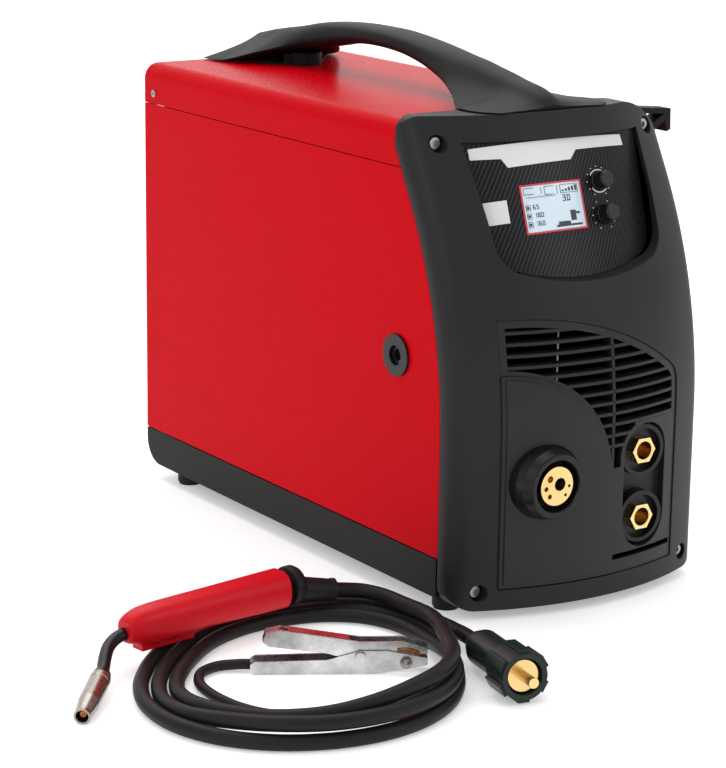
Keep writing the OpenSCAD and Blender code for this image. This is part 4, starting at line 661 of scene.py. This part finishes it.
spin = np.linspace(0, 2 * math.pi, 33)[:-1]
for k, (x, z, seat) in enumerate(frame_screws):
    rings = np.array([[(x + r * math.cos(t), seat - 0.02 - out, z + r * math.sin(t)) for t in spin]
                      for out, r in ((0, 4.5), (2.6, 4.5), (3, 4.1), (3, 2.1), (1.2, 1.9))])
    replaced = ["case_screws"] if k == 0 else []
    join(loft("frame_screw_%d" % (k + 1), rings, steel, 30), "dark_steel", *replaced)
for k, (side, y, z) in enumerate(((-1, 213, 317.5), (1, 213, 70))):
    rings = np.array([[(side * (109.9 + out), y + r * math.cos(t), z + r * math.sin(t)) for t in spin]
                      for out, r in ((0, 3), (0.7, 3), (1.05, 2.5), (1.05, 1.1), (0.5, 1.0))])
    join(loft("side_screw_%d" % (k + 1), rings, steel, 30), "dark_steel")

# ---------- grille, insert panel and earth sockets ----------
# A thin bowed plate set into the frame's opening, with a deep well for the two earth sockets
# and a field of level bars with one upright rib behind them.

# Finer grain than the frame's: satin, a little lighter at its edges.
panel_skin = finish("satin_black_panel", "#1e1d1f", "#252426", 0.4, grain=2600, height=0.03,
                    edge=0.7, shine=0.22)
dress(gloss, "dinse_shrouds")
dress(brass, "dinse_inserts")
socket_x, socket_heights = 42, (58, 107)
bar_first, bar_pitch, bar_h, bar_count = 114.9, 7.87, 2.2, 12


def torch_outline(grow):
    """Raised torch panel: a quarter circle over a slightly slanting side."""
    left, right, bottom, x, z, r = -79, 9.5, 23.5, -76, 92, 82
    left_at = math.degrees(math.acos((left - x - grow) / (r + grow)))
    return [(left - grow, bottom - grow), (right + grow, bottom - grow)] + arc(x, z, r + grow, 0, left_at, 30)


def stadium(grow):
    """Well round the two earth sockets."""
    return arc(socket_x, 106, 22 + grow, 0, 180, 24) + arc(socket_x, 59, 22 + grow, 180, 360, 24)


def twin(made):
    """Copy of an object with a mesh of its own."""
    copied = made.copy()
    copied.data = made.data.copy()
    scene.collection.objects.link(copied)
    return copied


plate = carve(mass(0.8), prism("edge", insert_outline(-0.3), -240, -150), "INTERSECT")
carve(plate, carve(mass(3.8), prism("well", stadium(2), -240, -209)))
field_outline = [(-79, 140), (-10, 140), (-10, 100), (30, 100), (30, 130.5), (190, 130.5),
                 (190, 240), (-79, 240)]
field = carve(prism("field", insert_outline(-5.5), -240, -140),
              prism("high", field_outline, -250, -130), "INTERSECT")
carve(field, prism("torch", torch_outline(3.2), -250, -130))
carve(field, prism("well", stadium(3.2), -250, -130))
bars = twin(field)
carve(plate, field)
carve(bars, mass(0.8), "INTERSECT")
carve(bars, mass(9))
rib = twin(bars)
levels = [bar_first + bar_pitch * k for k in range(bar_count)]
carve(bars, blocks("levels", [((-100, -260, z), (100, -100, z + bar_h)) for z in levels]), "INTERSECT")
carve(rib, blocks("rib", [((7.9, -260, 90), (10.1, -100, 230))]), "INTERSECT")
carve(plate, prism("torch", torch_outline(-5.7), -250, -150))
carve(plate, prism("well", stadium(0), -250, -211))
carve(plate, blocks("slot", [((12, -234, 32), (73, -210, 36))]))
for z in socket_heights:
    carve(plate, disc(socket_x, z, 12.1, -230, -180))
seal(plate, "grille_plate", panel_skin, "black_plastic", "grille_panel")
seal(bars, "grille_bars", panel_skin, "black_plastic")
seal(rib, "grille_rib", panel_skin, "black_plastic")

# ---------- torch panel and torch socket ----------
# A raised moulded plate with a stepped edge and a round hole, in which the gloss guard collar
# and the turned brass socket sit.

dress(gloss, "socket_collar")
dress(brass, "euro_socket")
raised = carve(mass(-2.5), prism("inner", torch_outline(-2.5), -250, -150), "INTERSECT")
step = carve(mass(-1.25), prism("outer", torch_outline(0), -250, -150), "INTERSECT")
carve(raised, step, "UNION")
carve(raised, mass(0.5))
carve(raised, disc(-48, 98.5, 26.6, -260, -150, 64))
seal(raised, "torch_socket_panel", panel_skin, "black_plastic", "torch_panel")

# ---------- control panel ----------
# A curved panel under a printed film, with a lit display in a red border, two gloss knobs
# and silver trims. The display's picture is thin dark bars, and marks stand round the knobs.

# Printed film with fine slanting lines: near black, with a grey line every 2.8 mm.
film = finish("striped_control_film", "#070809", "#0b0c0e", 0.34, grain=1800, edge=0.3, shine=0.16,
              stripe=((0.85, 0, -0.53), 2.8, "#2b2b2e"))
# Bright printed silver: pale, with a soft sheen and hardly any grain.
silver = finish("silver_print", "#c9c9cb", "#d2d2d4", 0.35, grain=900, height=0.002, edge=0.2)
# Red print: a flat, slightly glossy red.
red_print = finish("red_print", "#b8101f", "#c4182a", 0.35)
# Lit liquid-crystal glass: a pale blue that glows a little under a clear coat.
glass = finish("display_glass", "#a4b8c6", "#b2c4d0", 0.12, grain=200, height=0.0, coat=0.3, glow=0.12)
# Dark blue-black figures of the display.
ink = finish("display_ink", "#15202b", "#1c2935", 0.4)
dress(film, "control_fascia")
dress(silver, "silver_trims")
dress(red_print, "display_bezel")
dress(glass, "display_window")
dress(gloss, "knob_upper", "knob_lower")

panel_r = 226
strokes = {"0": "abcdef", "1": "bc", "3": "abcdg", "5": "acdfg", "6": "acdefg", "8": "abcdefg"}
lines = []


def figure(text, x, z, w, h):
    """Figures w wide and h high, of strokes a to g, from a lower left corner; a dot is a small square."""
    for sign in text:
        if sign == ".":
            lines.append((x - 0.25 * w, z, x - 0.05 * w, z + 0.2 * w))
            continue
        t = 0.14 * h
        at = {"a": (x, z + h - t, x + w, z + h), "g": (x, z + (h - t) / 2, x + w, z + (h + t) / 2),
              "d": (x, z, x + w, z + t), "f": (x, z + h / 2, x + t, z + h),
              "b": (x + w - t, z + h / 2, x + w, z + h), "e": (x, z, x + t, z + h / 2),
              "c": (x + w - t, z, x + w, z + h / 2)}
        lines.extend(at[k] for k in strokes[sign])
        x += 1.45 * w


def frame_of(x0, z0, x1, z1, t=0.3):
    """Thin rectangle."""
    lines.extend([(x0, z0, x1, z0 + t), (x0, z1 - t, x1, z1), (x0, z0, x0 + t, z1), (x1 - t, z0, x1, z1)])


def set_back(x):
    """How far the curved panel lies behind its middle line: r - sqrt(r^2 - x^2)."""
    return panel_r - math.sqrt(panel_r ** 2 - x ** 2)


figure("3.0", -7.5, 4.6, 2.6, 4.4)
figure("65", -32.5, 1.2, 1.9, 3.2)
figure("18.0", -32.5, -4.6, 1.9, 3.2)
figure("16.0", -32.5, -10.4, 1.9, 3.2)
for row in (0.4, -5.4, -11.2):
    frame_of(-38, row, -34.5, row + 4)
    lines.append((-37.2, row + 1, -35.3, row + 3))
frame_of(-38, 11.6, -24, 16.2)
frame_of(-21.5, 10.2, -11, 16.2)
frame_of(-8.5, 10.2, 6.5, 16.2)
for k in range(5):
    lines.append((-7.2 + 2.8 * k, 11.4, -5.6 + 2.8 * k, 12.4 + 0.7 * k))
lines.append((-38, 9.2, 7, 9.5))
lines.extend([(-16, -13, 6, -11.6), (-14, -11.6, -4, -9.4), (-3, -9.4, 1.6, -2.2), (1.6, -5, 5, -3.6)])
picture = blocks("display_picture", [
    ((x0, set_back((x0 + x1) / 2) - 0.5, z0), (x1, set_back((x0 + x1) / 2) - 0.2, z1))
    for x0, z0, x1, z1 in lines], on_panel)
picture.data.materials.append(ink)
join(picture, "dark_plastic")

# The marks leave a gap between the knobs, where both rings would meet.
knob_x, knob_heights, ring_r, half_mark = 27.3, (16, -7.8), 10.6, 0.35
marks = []
for knob_z in knob_heights:
    for t in np.radians(range(-150, 151, 30)):
        x, z = knob_x + ring_r * math.sin(t), knob_z + ring_r * math.cos(t)
        if abs(z - 4.1) > 2.2:
            marks.append(((x - half_mark, set_back(x) - 0.4, z - half_mark),
                          (x + half_mark, set_back(x) - 0.02, z + half_mark)))
scale = blocks("knob_scale_marks", marks, on_panel)
scale.data.materials.append(silver)
join(scale, "silver_plastic")

# ---------- wire feed ----------
# A steel plate behind the door with a motor, a drive roller and a sprung pressure arm with
# its red tension knob. The wire comes off a moulded spool on a hub.

dress(steel, "feed_plate", "drive_roller", "pressure_roller")
dress(gloss, "feed_motor", "pressure_arm", "spool_hub", "wire_spool")
dress(red_print, "tension_knob")
dress(copper, "wire_winding")

# ---------- power side and back ----------
# A laminate board with capacitors, an extruded heat sink, a varnished transformer and a fan,
# and at the back a brass gas valve, the mains switch and the gland of its cable.

# Green board laminate with a dull solder mask.
board = finish("board_laminate", "#1b5233", "#256a42", 0.4)
# Varnished winding: brown, with a dark line between the turns.
winding = finish("varnished_winding", "#5c3c22", "#7d5634", 0.4, stripe=((0, 0, 1), 1.6, "#3b2413"))
dress(board, "power_board")
dress(steel, "heat_sink")
dress(winding, "transformer")
dress(gloss, "fan_frame", "fan_rotor", "switch_body", "switch_knob", "cable_gland")
dress(brass, "gas_valve")
